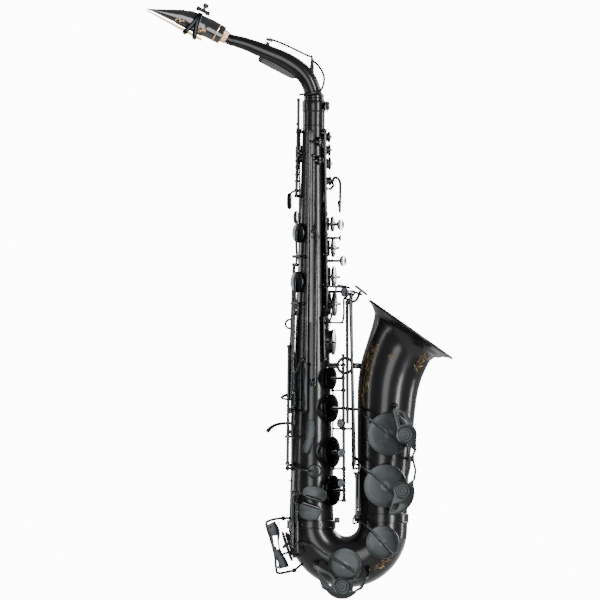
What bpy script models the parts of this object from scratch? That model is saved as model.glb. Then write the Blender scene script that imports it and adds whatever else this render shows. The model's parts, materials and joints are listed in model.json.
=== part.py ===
"""Alto saxophone: body, bow, bell, neck, mouthpiece and its sprung keywork.

Units are millimetres in the constants and metres in the scene, with +Z up.
The origin is the centre of the neck-strap ring. The bore axis of the body tube
is vertical and stands BODY_X to the side of it; every place below is given
from that axis: x towards the bell, y away from the right-hand side, z up.
Around the body tube an angle of 0 degrees faces the right-hand side (-Y), 90
the bell (+X), -90 the player (-X) and 180 the left-hand side (+Y).
"""
import math

import bmesh
import bpy
from mathutils import Matrix, Vector

ASSEMBLY = "alto_saxophone"
MM = 0.001
BODY_X = 27.1          # from the strap ring to the body tube's axis
GAP = 0.3              # between neighbouring pieces
WALL = 1.0             # tube wall

# body tube: a cone
BODY_TOP, BODY_BOTTOM = 236.0, -241.8
R_TOP, TAPER = 13.4, 0.02827
TAPER_FROM = 238.8

# bow: half a torus
BOW_X, BOW_Z, BOW_R = 42.8, -242.0, 42.9
BOW_TUBE = (27.1, 30.9, 29.6)       # radius at the body, the bottom, the bell
BELL_FOOT = -232.0

# bell: centreline x, z and radius
BELL = [
    (85.7, -231.6, 29.4), (85.6, -200.0, 30.1), (85.9, -174.5, 30.9), (87.0, -146.0, 32.6),
    (88.0, -126.5, 33.7), (89.4, -95.0, 35.2), (91.2, -73.9, 36.6), (94.2, -58.0, 37.5),
    (97.6, -46.5, 38.2), (101.7, -35.5, 38.9), (105.8, -25.5, 40.2), (110.3, -17.0, 43.4),
    (114.2, -11.1, 49.4), (117.0, -7.0, 57.6), (117.9, -5.7, 59.6),
]
BELL_TILT = 34.5                    # degrees the mouth leans away from vertical

# neck: centreline x, z and radius, cork end first
NECK = [
    (-103.0, 341.8, 6.6), (-96.0, 339.6, 6.9), (-82.0, 335.6, 7.6), (-66.3, 329.8, 8.5),
    (-47.1, 322.2, 9.1), (-31.4, 314.7, 9.8), (-18.2, 305.8, 10.2), (-9.1, 295.9, 10.4),
    (-3.8, 285.8, 10.4), (-1.0, 276.0, 10.5), (0.0, 268.0, 10.6),
]
TENON_R, TENON_FOOT = 10.9, 241.0
MP_ANGLE = 28.0                     # slope of the mouthpiece's axis
MP_ORIGIN = (-116.0, 348.7)         # centre of the shank's end
CORK_R = 7.9

# upper stack hinge, lower stack hinge and the long side rods: (x, y, z) bottom and top
UPPER_ROD = ((17.3, -17.6, 18.0), (13.1, -13.3, 233.0))
LOWER_ROD = ((39.1, -7.5, -214.0), (36.7, -7.5, -25.0))
HIGH_E_ROD = ((-7.3, -25.8, -49.0), (-5.1, -18.1, 232.0))
F_SHARP_ROD = ((3.0, -27.6, -73.0), (4.7, -21.9, 105.0))
F_SHARP_CUP_ROD = ((-0.2, -22.3, 109.0), (-0.2, -19.9, 203.0))
TRILL_ROD = ((-29.0, -7.5, -174.0), (-28.1, -7.0, -26.0))
SIDE_BB_ROD = ((-24.4, -13.2, -106.0), (-22.2, -10.6, 13.0))
SIDE_C_ROD = ((-27.8, 5.5, -88.0), (-22.6, 3.0, 72.0))
OCTAVE_ROD = ((-20.4, -3.5, 153.0), (-18.9, -3.5, 231.0))
OCTAVE_LINK_ROD = ((-18.5, 2.0, 234.5), (-18.5, 2.0, 268.0))
G_SHARP_ROD = ((14.6, -21.3, -43.0), (13.4, -20.6, 8.0))
LOW_B_ROD = ((42.7, -12.0, -125.0), (41.1, -12.0, 31.0))
LOW_BB_ROD = ((51.6, -19.5, -168.0), (45.0, -19.5, 31.0))
C_SHARP_ROD = ((54.0, -26.0, -238.5), (54.0, -26.0, -177.0))
C_SHARP_LEVER_ROD = ((50.0, -4.5, -174.0), (46.0, -4.5, 40.0))
LOW_C_ROD = ((-16.6, -28.4, -276.0), (-16.9, -26.8, -198.0))
LOW_EB_ROD = ((-22.8, -24.6, -270.0), (-21.4, -22.6, -201.0))
PALM_RODS = {
    "palm_f_key": ((-7.0, 19.6, 190.0), (-7.0, 18.4, 231.0)),
    "palm_eb_key": ((1.0, 20.6, 176.0), (1.0, 19.6, 213.0)),
    "palm_d_key": ((8.0, 18.8, 160.0), (8.0, 17.9, 200.0)),
}

# tone holes on the body tube: angle, z, bore radius, cup radius
BODY_HOLES = {
    "palm_f_key": (84, 224.7, 4.3, 6.6), "palm_eb_key": (88, 209.1, 4.8, 7.0),
    "palm_d_key": (92, 192.8, 5.2, 7.6), "high_e_key": (23, 219.0, 3.6, 5.2),
    "high_f_sharp_cup": (22, 196.5, 3.6, 5.2), "front_f_key": (86, 172.0, 3.6, 5.6),
    "b_key": (88, 120.3, 7.0, 9.4), "bis_key": (88, 91.5, 8.6, 11.2),
    "a_key": (88, 56.7, 10.6, 13.2), "g_key": (88, 24.3, 12.0, 14.8),
    "g_sharp_key": (80, -21.3, 12.8, 15.6), "side_c_cup": (-54, 109.3, 9.6, 12.0),
    "side_bb_cup": (-54, 50.4, 10.2, 12.8), "body_octave_key": (-62, 205.0, 1.6, 4.4),
    "f_sharp_cup": (52, -64.5, 10.8, 13.6), "f_key": (52, -100.5, 12.4, 16.8),
    "e_key": (52, -153.3, 13.0, 18.8), "d_key": (54, -198.9, 13.6, 18.2),
    "trill_key": (10, -176.2, 6.0, 8.4),
}
# tone holes on the bell and the bow: x, z on the tube's axis, bore, cup, angle off the front
BELL_HOLES = {
    "low_b_key": (87.8, -131.0, 21.4, 25.8, 10.0), "low_bb_key": (85.6, -193.0, 22.0, 26.0, 7.0),
}
LOW_C_HOLE = (41.1, -288.5, 16.5, 20.4)
C_SHARP_HOLE = (85.4, -260.9, 15.8, 20.2)
EB_HOLE_ANGLE = 199.0               # place of the low Eb hole round the bow
EB_BORE, EB_CUP = 15.0, 19.0
RIM_RISE = 2.6                      # tone-hole rim above the tube
PAD_GAP = 0.4                       # pad to rim when the key is closed
CUP_THICK = 4.2

BLACK = ((0.012, 0.012, 0.013, 1.0), 0.42, 0.75)
SATIN = ((0.10, 0.105, 0.105, 1.0), 0.38, 0.9)
NICKEL = ((0.05, 0.05, 0.055, 1.0), 0.15, 1.0)
EBONITE = ((0.008, 0.008, 0.008, 1.0), 0.12, 0.0)
CORK = ((0.45, 0.28, 0.15, 1.0), 0.85, 0.0)
CANE = ((0.78, 0.56, 0.28, 1.0), 0.6, 0.0)
PAD = ((0.62, 0.42, 0.33, 1.0), 0.7, 0.0)
FINISH = {}


# ---------------------------------------------------------------- basics
def place(x, y, z):
    """World point in metres from millimetres off the body tube's axis."""
    return Vector((x + BODY_X, y, z)) * MM


def body_radius(z):
    return R_TOP + TAPER * (TAPER_FROM - z)


def normal_at(angle):
    turn = math.radians(angle)
    return Vector((math.sin(turn), -math.cos(turn), 0.0))


def on_body(angle, rise, z):
    """Point at an angle round the body tube, `rise` millimetres above its wall."""
    out = normal_at(angle) * (body_radius(z) + rise)
    return (out.x, out.y, z)


def along(rod, z):
    """Point of a hinge line at a height."""
    low, high = Vector(rod[0]), Vector(rod[1])
    return low.lerp(high, (z - low.z) / (high.z - low.z))


def clear_scene():
    for item in list(bpy.data.objects):
        bpy.data.objects.remove(item, do_unlink=True)


def collection(name):
    made = bpy.data.collections.new(name)
    bpy.context.scene.collection.children.link(made)


def material(name, look):
    colour, rough, metal = look
    made = bpy.data.materials.new(name)
    made.use_nodes = True
    shader = made.node_tree.nodes["Principled BSDF"]
    shader.inputs["Base Color"].default_value = colour
    shader.inputs["Roughness"].default_value = rough
    shader.inputs["Metallic"].default_value = metal
    return made


def finish_mesh(mesh):
    """Weld, face outwards and hand back the mesh as a loose object."""
    shape = bmesh.new()
    shape.from_mesh(mesh)
    bmesh.ops.remove_doubles(shape, verts=shape.verts, dist=1e-6)
    bmesh.ops.recalc_face_normals(shape, faces=shape.faces)
    shape.to_mesh(mesh)
    shape.free()
    return bpy.data.objects.new("piece", mesh)


def cylinder(start, end, radius, sides=6, end_radius=None):
    """Solid rod or cone between two points in millimetres."""
    low, high = place(*start), place(*end)
    axis = high - low
    shape = bmesh.new()
    bmesh.ops.create_cone(
        shape, cap_ends=True, cap_tris=False, segments=sides, radius1=radius * MM,
        radius2=(radius if end_radius is None else end_radius) * MM, depth=axis.length)
    turn = Vector((0, 0, 1)).rotation_difference(axis).to_matrix().to_4x4()
    bmesh.ops.transform(shape, matrix=Matrix.Translation((low + high) / 2) @ turn,
                        verts=shape.verts)
    mesh = bpy.data.meshes.new("piece")
    shape.to_mesh(mesh)
    shape.free()
    return bpy.data.objects.new("piece", mesh)


def ball(centre, radius, sides=8):
    shape = bmesh.new()
    bmesh.ops.create_uvsphere(shape, u_segments=sides, v_segments=sides - 2, radius=radius * MM)
    bmesh.ops.translate(shape, vec=place(*centre), verts=shape.verts)
    mesh = bpy.data.meshes.new("piece")
    shape.to_mesh(mesh)
    shape.free()
    return bpy.data.objects.new("piece", mesh)


def box(centre, size, turn=0.0, axis="Z"):
    """Solid block; `turn` degrees about an axis through its centre."""
    shape = bmesh.new()
    bmesh.ops.create_cube(shape, size=1.0)
    spin = Matrix.Rotation(math.radians(turn), 4, axis)
    scale = Matrix.Diagonal((size[0] * MM, size[1] * MM, size[2] * MM, 1.0))
    bmesh.ops.transform(shape, matrix=Matrix.Translation(place(*centre)) @ spin @ scale,
                        verts=shape.verts)
    mesh = bpy.data.meshes.new("piece")
    shape.to_mesh(mesh)
    shape.free()
    return bpy.data.objects.new("piece", mesh)


def curve_mesh(data):
    """A curve's own shape as a welded mesh object."""
    source = bpy.data.objects.new("guide", data)
    bpy.context.scene.collection.objects.link(source)
    bpy.context.view_layer.update()
    mesh = bpy.data.meshes.new_from_object(source.evaluated_get(bpy.context.evaluated_depsgraph_get()))
    matrix = source.matrix_world.copy()
    bpy.data.objects.remove(source, do_unlink=True)
    bpy.data.curves.remove(data)
    mesh.transform(matrix)
    return finish_mesh(mesh)


def arm(points, radius, closed=False, sides_level=0):
    """Bent rod through the points."""
    data = bpy.data.curves.new("guide", "CURVE")
    data.dimensions = "3D"
    data.bevel_depth = radius * MM
    data.bevel_resolution = sides_level
    data.use_fill_caps = not closed
    spline = data.splines.new("POLY")
    spline.points.add(len(points) - 1)
    for spot, point in zip(spline.points, points):
        spot.co = (*place(*point), 1.0)
    spline.use_cyclic_u = closed
    return curve_mesh(data)


def plate(outline, centre, normal, up, thick, windows=()):
    """Flat outline in millimetres, extruded by its thickness, facing `normal`."""
    data = bpy.data.curves.new("guide", "CURVE")
    data.dimensions = "2D"
    data.fill_mode = "BOTH"
    data.extrude = thick * MM / 2
    for edge in (outline, *windows):
        spline = data.splines.new("POLY")
        spline.points.add(len(edge) - 1)
        for spot, point in zip(spline.points, edge):
            spot.co = (point[0] * MM, point[1] * MM, 0.0, 1.0)
        spline.use_cyclic_u = True
    made = curve_mesh(data)
    face = Vector(normal).normalized()
    side = Vector(up).cross(face).normalized()
    rise = face.cross(side)
    turn = Matrix((side, rise, face)).transposed().to_4x4()
    made.data.transform(Matrix.Translation(place(*centre)) @ turn)
    return made


def stadium(width, length, steps=4):
    """Outline with two round ends, its length along the second axis."""
    radius = width / 2
    reach = length / 2 - radius
    points = []
    for end, start in ((1, 0.0), (-1, math.pi)):
        for step in range(steps + 1):
            turn = start + math.pi * step / steps
            points.append((radius * math.cos(turn), end * reach + radius * math.sin(turn)))
    return points


def arc(centre, radius, first, last, steps=8):
    """Points of an arc, from one angle to another in degrees."""
    turns = [math.radians(first + (last - first) * step / steps) for step in range(steps + 1)]
    return [(centre[0] + radius * math.cos(turn), centre[1] + radius * math.sin(turn)) for turn in turns]


def strap_outline(stations):
    """Outline of a bent strap from its centreline and half widths."""
    left, right = [], []
    for index, (x, y, half) in enumerate(stations):
        before, after = stations[max(index - 1, 0)], stations[min(index + 1, len(stations) - 1)]
        run = Vector((after[0] - before[0], after[1] - before[1])).normalized()
        left.append((x - run.y * half, y + run.x * half))
        right.append((x + run.y * half, y - run.x * half))
    return left + right[::-1]


def loft(sections, sides=20):
    """Closed skin over circles given as (centre, direction, radius) in millimetres."""
    shape = bmesh.new()
    rings = []
    for centre, direction, radius in sections:
        axis = Vector(direction).normalized()
        side = Vector((0, 1, 0))
        other = axis.cross(side).normalized()
        ring = []
        for step in range(sides):
            turn = 2 * math.pi * step / sides
            spot = Vector(centre) + (side * math.cos(turn) + other * math.sin(turn)) * radius
            ring.append(shape.verts.new(place(*spot)))
        rings.append(ring)
    for low, high in zip(rings, rings[1:]):
        for step in range(sides):
            after = (step + 1) % sides
            shape.faces.new((low[step], low[after], high[after], high[step]))
    shape.faces.new(rings[0])
    shape.faces.new(rings[-1])
    bmesh.ops.recalc_face_normals(shape, faces=shape.faces)
    mesh = bpy.data.meshes.new("piece")
    shape.to_mesh(mesh)
    shape.free()
    return bpy.data.objects.new("piece", mesh)


def path_sections(stations, thinner=0.0, stretch=0.0):
    """Sections along x, z, radius stations, each square to the centreline."""
    made = []
    last = len(stations) - 1
    for spot, (x, z, radius) in enumerate(stations):
        before, after = stations[max(spot - 1, 0)], stations[min(spot + 1, last)]
        direction = Vector((after[0] - before[0], 0, after[1] - before[1])).normalized()
        centre = Vector((x, 0, z))
        if spot == 0:
            centre -= direction * stretch
        if spot == last:
            centre += direction * stretch
        made.append((centre, direction, radius - thinner))
    return made


def combine(base, others, operation="UNION"):
    """Boolean the other pieces into the base, one after another."""
    scene = bpy.context.scene.collection
    scene.objects.link(base)
    for other in others:
        scene.objects.link(other)
        step = base.modifiers.new("join", "BOOLEAN")
        step.operation = operation
        step.solver = "EXACT"
        step.object = other
    bpy.context.view_layer.update()
    mesh = bpy.data.meshes.new_from_object(base.evaluated_get(bpy.context.evaluated_depsgraph_get()))
    for used in [base, *others]:
        bpy.data.objects.remove(used, do_unlink=True)
    shape = bmesh.new()
    shape.from_mesh(mesh)
    bmesh.ops.remove_doubles(shape, verts=shape.verts, dist=2e-6)
    bmesh.ops.dissolve_degenerate(shape, edges=shape.edges, dist=2e-6)
    shape.to_mesh(mesh)
    shape.free()
    return bpy.data.objects.new("piece", mesh)


def node(name, pieces, look, pivot=None, rest_turn=0.0):
    """Join pieces into one named sub-part; a key is turned about its hinge to its rest."""
    made = combine(pieces[0], pieces[1:]) if len(pieces) > 1 else pieces[0]
    mesh = made.data
    bpy.data.objects.remove(made, do_unlink=True)
    origin = Vector((0, 0, 0))
    if pivot is not None:
        low, high = place(*pivot[0]), place(*pivot[1])
        origin = (low + high) / 2
        turn = Matrix.Rotation(math.radians(rest_turn), 4, (high - low).normalized())
        mesh.transform(Matrix.Translation(origin) @ turn @ Matrix.Translation(-origin))
    mesh.transform(Matrix.Translation(-origin))
    mesh.name = name
    mesh.materials.clear()
    if look not in FINISH:
        FINISH[look] = material(f"finish_{len(FINISH)}", look)
    mesh.materials.append(FINISH[look])
    mesh.shade_smooth()
    mesh.set_sharp_from_angle(angle=math.radians(40))
    thing = bpy.data.objects.new(name, mesh)
    thing.location = origin
    bpy.data.collections[ASSEMBLY].objects.link(thing)


# ---------------------------------------------------------------- tone holes
def hole_frame(name):
    """Axis point, outward normal, rim distance, bore and cup radius of a tone hole."""
    if name in BODY_HOLES:
        angle, z, bore, cup = BODY_HOLES[name]
        return (0.0, 0.0, z), normal_at(angle), body_radius(z) + RIM_RISE, bore, cup
    if name in BELL_HOLES:
        x, z, bore, cup, turned = BELL_HOLES[name]
        return (x, 0.0, z), normal_at(turned), bell_radius(z) + RIM_RISE, bore, cup
    if name == "low_c_key":
        x, z, bore, cup = LOW_C_HOLE
        return (x, 0.0, z), normal_at(0), bow_radius(270) + RIM_RISE, bore, cup
    if name == "low_c_sharp_key":
        x, z, bore, cup = C_SHARP_HOLE
        return (x, 0.0, z), normal_at(0), bow_radius(335) + RIM_RISE, bore, cup
    turn = math.radians(EB_HOLE_ANGLE)
    out = Vector((math.cos(turn), 0, math.sin(turn)))
    middle = Vector((BOW_X, 0, BOW_Z)) + out * BOW_R
    return tuple(middle), out, bow_radius(EB_HOLE_ANGLE) + RIM_RISE, EB_BORE, EB_CUP


def spot_on(name, distance, across=(0, 0, 0)):
    """Point out along a tone hole's axis."""
    middle, out, _, _, _ = hole_frame(name)
    return tuple(Vector(middle) + out * distance + Vector(across))


def chimney(name, sides=10):
    _, _, rim, bore, _ = hole_frame(name)
    return cylinder(spot_on(name, 0), spot_on(name, rim), bore + 1.1, sides)


def bore_cut(name, sides=10):
    _, _, rim, bore, _ = hole_frame(name)
    return cylinder(spot_on(name, 0), spot_on(name, rim + 5), bore, sides)


def cup(name, sides=12, lift=0.0):
    """Pad cup in its closed place, a shallow dome stepped at the edge."""
    _, _, rim, _, radius = hole_frame(name)
    low = rim + PAD_GAP + lift
    skirt = cylinder(spot_on(name, low), spot_on(name, low + CUP_THICK - 1.2), radius, sides)
    crown = cylinder(spot_on(name, low + CUP_THICK - 2.0), spot_on(name, low + CUP_THICK),
                     radius - 0.6, sides, end_radius=radius - 2.0)
    return [skirt, crown]


def pad_disc(name, thick, sides=16):
    """Separate pad that stands out of the cup's mouth towards the rim."""
    _, _, rim, _, radius = hole_frame(name)
    low = rim + PAD_GAP
    return cylinder(spot_on(name, low), spot_on(name, low + thick), radius - 1.6, sides)


def cup_top(name, beyond=0.0, across=(0, 0, 0)):
    """Point on the cup's outer face."""
    _, _, rim, _, _ = hole_frame(name)
    return spot_on(name, rim + PAD_GAP + CUP_THICK + beyond, across)


def tube(rod, radius=1.9, low=None, high=None, sides=6):
    """Hinge tube along a hinge line, between two heights."""
    bottom = along(rod, rod[0][2] if low is None else low)
    top = along(rod, rod[1][2] if high is None else high)
    return cylinder(bottom, top, radius, sides)


def pearl(centre, out, radius=5.0):
    """Round finger touch in its holder."""
    middle, face = Vector(centre), Vector(out).normalized()
    return cylinder(middle - face * 1.4, middle + face * 1.4, radius, 10)


# ---------------------------------------------------------------- tubes
def bell_radius(z):
    for (_, low, start), (_, high, end) in zip(BELL, BELL[1:]):
        if low <= z <= high:
            return start + (end - start) * (z - low) / (high - low)
    return BELL[0][2]


def bow_radius(angle):
    """Tube radius round the bow, from 180 degrees at the body to 360 at the bell."""
    share = (angle - 180.0) / 180.0
    start, middle, end = BOW_TUBE
    curve = start + end - 2 * middle
    return start + (4 * middle - 3 * start - end) * share + 2 * curve * share * share


def bow_sections(thinner=0.0, stretch=0.0):
    steps = 10
    made = [((BOW_X - BOW_R, 0, BOW_Z - GAP + stretch), (0, 0, -1), BOW_TUBE[0] - thinner)]
    for step in range(1, steps):
        angle = 180.0 + 180.0 * step / steps
        turn = math.radians(angle)
        centre = (BOW_X + BOW_R * math.cos(turn), 0, BOW_Z + BOW_R * math.sin(turn))
        made.append((centre, (-math.sin(turn), 0, math.cos(turn)), bow_radius(angle) - thinner))
    made.append(((BOW_X + BOW_R, 0, BOW_Z), (0, 0, 1), BOW_TUBE[2] - thinner))
    made.append(((BOW_X + BOW_R, 0, BELL_FOOT - GAP + stretch), (0, 0, 1), BOW_TUBE[2] - thinner))
    return made


def hollow(outer, chimneys, inner, bores):
    solid = combine(outer, chimneys) if chimneys else outer
    return combine(solid, [inner, *bores], "DIFFERENCE")


def build_tubes():
    body = loft([((0, 0, BODY_BOTTOM), (0, 0, 1), body_radius(BODY_BOTTOM)),
                 ((0, 0, BODY_TOP), (0, 0, 1), body_radius(BODY_TOP))])
    bore = loft([((0, 0, BODY_BOTTOM - 5), (0, 0, 1), body_radius(BODY_BOTTOM - 5) - WALL),
                 ((0, 0, BODY_TOP + 5), (0, 0, 1), body_radius(BODY_TOP + 5) - WALL)])
    names = list(BODY_HOLES)
    small = [name for name in names if name != "body_octave_key"]
    pip = cylinder(spot_on("body_octave_key", 5), spot_on("body_octave_key", body_radius(205) + 2.6), 2.6)
    chimneys = [chimney(name) for name in small] + [pip]
    node("body_tube", [hollow(body, chimneys, bore, [bore_cut(name) for name in names])], BLACK)

    bow = loft(bow_sections(), 18)
    inner = loft(bow_sections(WALL, 5.0), 18)
    holes = ["low_c_key", "low_c_sharp_key", "low_eb_key"]
    node("bow", [hollow(bow, [chimney(name) for name in holes], inner,
                        [bore_cut(name) for name in holes])], BLACK)

    bell = loft(path_sections(BELL), 24)
    inner = loft(path_sections(BELL, WALL, 4.0), 24)
    holes = list(BELL_HOLES)
    made = hollow(bell, [chimney(name, 16) for name in holes], inner,
                  [bore_cut(name, 16) for name in holes])
    x, z, radius = BELL[-1]
    lean = math.radians(BELL_TILT)
    side = Vector((math.cos(lean), 0, -math.sin(lean)))
    across = Vector((0, 1, 0))
    rim = []
    for step in range(24):
        turn = 2 * math.pi * step / 24
        rim.append(Vector((x, 0, z)) + (side * math.cos(turn) + across * math.sin(turn)) * radius)
    node("bell", [made, arm(rim, 1.7, closed=True, sides_level=1)], BLACK)


def ring_band(centre_x, low, high, inner, outer, sides=28):
    solid = cylinder((centre_x, 0, low), (centre_x, 0, high), outer, sides)
    cut = cylinder((centre_x, 0, low - 1), (centre_x, 0, high + 1), inner, sides)
    return combine(solid, [cut], "DIFFERENCE")


def build_ferrules():
    lug = box((30.6, 0, -235.0), (6.0, 7.0, 7.0))
    band = ring_band(0, -245.2, -235.2, 28.5, 29.9)
    node("body_bow_ferrule", [band, lug], BLACK)
    band = ring_band(BOW_X + BOW_R, -238.0, -226.5, 30.1, 31.6)
    node("bell_bow_ferrule", [band], BLACK)
    outer = cylinder((0, 0, 236.3), (0, 0, 256.0), 13.4, 18)
    collar = cylinder((0, 0, 255.5), (0, 0, 268.0), 14.2, 18)
    lip = cylinder((0, 0, 267.5), (0, 0, 271.3), 12.6, 18)
    ears = box((15.8, -3.0, 262.0), (6.0, 12.0, 10.0))
    cut = cylinder((0, 0, 236.0), (0, 0, 272.0), 11.6, 18)
    slot = box((15.8, -3.0, 262.0), (10.0, 1.2, 14.0))
    screw = cylinder((15.8, -14.0, 261.0), (15.8, 8.0, 261.0), 2.3, 10)
    solid = combine(outer, [collar, lip, ears])
    node("neck_receiver", [combine(solid, [cut, slot, screw], "DIFFERENCE")], BLACK)
    shaft = cylinder((15.8, -11.0, 261.0), (15.8, 5.0, 261.0), 1.9, 10)
    head = cylinder((15.8, -12.5, 261.0), (15.8, -9.6, 261.0), 3.4, 12)
    wing = plate(stadium(6.4, 14.0), (15.8, -15.0, 261.0), (1, 0, 0), (0, 0, 1), 2.0)
    stem = cylinder((15.8, -16.0, 261.0), (15.8, -12.0, 261.0), 1.9, 8)
    node("neck_clamp_screw", [shaft, head, wing, stem], NICKEL,
         ((15.8, -11, 261.0), (15.8, 5, 261.0)))


# ---------------------------------------------------------------- neck
def build_neck():
    slope = math.radians(MP_ANGLE)
    along_mp = Vector((-math.cos(slope), 0, math.sin(slope)))
    start = Vector((NECK[0][0], 0, NECK[0][1]))
    tip = start + along_mp * 36.0
    stations = [(tip.x, tip.z, 6.4), *NECK]
    outer = loft(path_sections(stations), 16)
    inner = loft(path_sections(stations, WALL, 3.0), 16)
    tenon = cylinder((0, 0, TENON_FOOT), (0, 0, 272.0), TENON_R, 16)
    collar = cylinder((0, 0, 271.7), (0, 0, 275.5), 12.4, 16)
    brace = plate([(-26, -6.5), (24, -6.5), (30, 0), (24, 3), (-26, 3)], (-43.0, 0, 309.2),
                  (0, -1, 0), (0.45, 0, 0.9), 3.0)
    saddle_low = cylinder((-2.6, 0, 301.0), (-2.6, 0, 316.5), 2.6, 8)
    saddle = cylinder((-2.6, -4.0, 317.0), (-2.6, 4.0, 317.0), 2.2, 8)
    bore = cylinder((0, 0, TENON_FOOT - 2), (0, 0, 270.0), TENON_R - WALL, 16)
    pip = cylinder((-58.0, 0, 331.0), (-54.9, 0, 338.2), 2.4, 8)
    pip_bore = cylinder((-58.9, 0, 329.0), (-54.0, 0, 340.3), 0.9, 8)
    outer = combine(outer, [tenon, collar, brace, saddle_low, saddle, pip])
    node("neck", [combine(outer, [bore, inner, pip_bore], "DIFFERENCE")], BLACK)
    sleeve = cylinder(tuple(start + along_mp * 2.0), tuple(start + along_mp * 37.0), CORK_R, 20)
    cut = cylinder(tuple(start - along_mp * 4.0), tuple(start + along_mp * 40.0), 7.0, 20)
    node("neck_cork", [combine(sleeve, [cut], "DIFFERENCE")], CORK)


# ---------------------------------------------------------------- mouthpiece
def along_mouthpiece(reach, rise, across=0.0):
    """Point `reach` from the shank's end towards the tip, `rise` above the axis."""
    slope = math.radians(MP_ANGLE)
    x = MP_ORIGIN[0] - reach * math.cos(slope) + rise * math.sin(slope)
    z = MP_ORIGIN[1] + reach * math.sin(slope) + rise * math.cos(slope)
    return (x, across, z)


# reach from the shank, half width, top and bottom of the section, and its squareness
MP_SECTIONS = [
    (-6.5, 11.0, 11.0, -11.0, 0.0), (14.0, 11.6, 11.5, -11.8, 0.0), (17.0, 12.0, 11.0, -13.2, 0.1),
    (38.0, 11.6, 9.2, -13.6, 0.25), (47.0, 11.0, 6.6, -13.8, 0.3), (64.0, 10.2, -2.2, -14.1, 0.4),
    (80.0, 9.4, -10.4, -14.4, 0.5), (88.5, 8.8, -14.2, -15.2, 0.5),
]


def mouthpiece_skin(sections, grow=0.0, sides=16):
    """Closed loft of rounded sections square to the mouthpiece's axis."""
    shape = bmesh.new()
    rings = []
    for reach, half, top, bottom, square in sections:
        middle, tall = (top + bottom) / 2, (top - bottom) / 2 + grow
        ring = []
        for step in range(sides):
            turn = 2 * math.pi * step / sides
            blunt = 1.0 / max(abs(math.cos(turn)), abs(math.sin(turn))) ** square
            across = (half + grow) * math.cos(turn) * blunt
            rise = middle + tall * math.sin(turn) * blunt
            rise = max(min(rise, middle + tall), middle - tall)
            ring.append(shape.verts.new(place(*along_mouthpiece(reach, rise, across))))
        rings.append(ring)
    for low, high in zip(rings, rings[1:]):
        for step in range(sides):
            after = (step + 1) % sides
            shape.faces.new((low[step], low[after], high[after], high[step]))
    shape.faces.new(rings[0])
    shape.faces.new(rings[-1])
    bmesh.ops.recalc_face_normals(shape, faces=shape.faces)
    mesh = bpy.data.meshes.new("piece")
    shape.to_mesh(mesh)
    shape.free()
    return bpy.data.objects.new("piece", mesh)


def side_outline(points, half, across=0.0):
    """Closed prism whose side view is given as (reach, rise) points."""
    slope = math.radians(MP_ANGLE)
    forward = (-math.cos(slope), 0.0, math.sin(slope))
    middle = along_mouthpiece(0.0, 0.0, across)
    return plate([(rise, reach) for reach, rise in points], middle, (0, -1, 0), forward, half * 2)


def build_mouthpiece():
    body = mouthpiece_skin(MP_SECTIONS)
    shank = cylinder(along_mouthpiece(-7.5, 0), along_mouthpiece(48, 0), CORK_R + GAP, 20)
    window = [(46, -6), (46, 2), (60, -4), (84.5, -14.2), (84.5, -18), (50, -18), (50, -6)]
    chamber = side_outline(window, 5.6)
    node("mouthpiece", [combine(body, [shank, chamber], "DIFFERENCE")], EBONITE)
    heel, tip = 13.0, 89.0
    cane = side_outline([(heel, -14.5), (heel, -18.0), (40, -18.1), (62, -17.6), (tip, -17.4),
                         (tip, -15.8), (62, -14.8), (44, -14.5)], 7.2)
    node("reed", [cane], CANE)
    outer = mouthpiece_skin([(19.0, 12.0, 11.0, -18.6, 0.6), (36.0, 11.6, 9.8, -18.7, 0.6)], 2.0)
    inner = mouthpiece_skin([(17.0, 12.0, 11.3, -18.6, 0.6), (38.0, 11.6, 9.8, -18.7, 0.6)], 0.6)
    rails = [cylinder(along_mouthpiece(reach, 12.6), along_mouthpiece(reach, 15.4), 2.2, 8)
             for reach in (22, 34)]
    bar = cylinder(along_mouthpiece(19, 15.4), along_mouthpiece(37, 15.4), 2.4, 8)
    screw_hole = cylinder(along_mouthpiece(28, 11.0), along_mouthpiece(28, 20.0), 2.0, 10)
    solid = combine(outer, [*rails, bar])
    node("ligature", [combine(solid, [inner, screw_hole], "DIFFERENCE")], NICKEL)
    foot, head = along_mouthpiece(28, 15.0), along_mouthpiece(28, 24.0)
    pin = cylinder(foot, head, 1.6, 8)
    grip = cylinder(along_mouthpiece(28, 19.0), along_mouthpiece(28, 25.0), 3.4, 12)
    node("ligature_screw", [pin, grip], NICKEL, (foot, head))


# ---------------------------------------------------------------- stack keys
def swing(span, rod):
    """Hinge line cut down to the heights a key's own tube takes."""
    low, high = span
    return (tuple(along(rod, low)), tuple(along(rod, high)))


UPPER_REST, LOWER_REST = -8.0, 9.0  # degrees a stack key stands open


def stack_key(name, rod, span, pearl_spot, pearl_out, rest, pearl_radius):
    """Cup, arm and finger touch on one hinge tube."""
    z = BODY_HOLES[name][1]
    out = hole_frame(name)[1]
    hinge = along(rod, z)
    middle = Vector(cup_top(name, 1.0))
    toward = (Vector(hinge) - middle)
    knee = hinge + out * (-toward.dot(out)) * 0.8
    pieces = [tube(rod, 2.0, *span), *cup(name),
              arm([tuple(hinge), tuple(knee), tuple(middle), tuple(middle - toward * 0.25)], 1.6)]
    if pearl_spot is not None:
        start = along(rod, min(max(pearl_spot[2], span[0] + 2), span[1] - 2))
        face = Vector(pearl_out).normalized()
        seat = Vector(pearl_spot) - face * 1.2
        bend = start.lerp(seat, 0.6) + face * 2.0
        pieces += [arm([tuple(start), tuple(bend), tuple(seat)], 1.7),
                   pearl(pearl_spot, pearl_out, pearl_radius)]
    node(name, pieces, SATIN, swing(span, rod), rest)


UPPER_PEARLS = (0.87, -0.5, 0)     # way the finger touches face
LOWER_PEARLS = (0.62, -0.78, 0)


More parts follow.
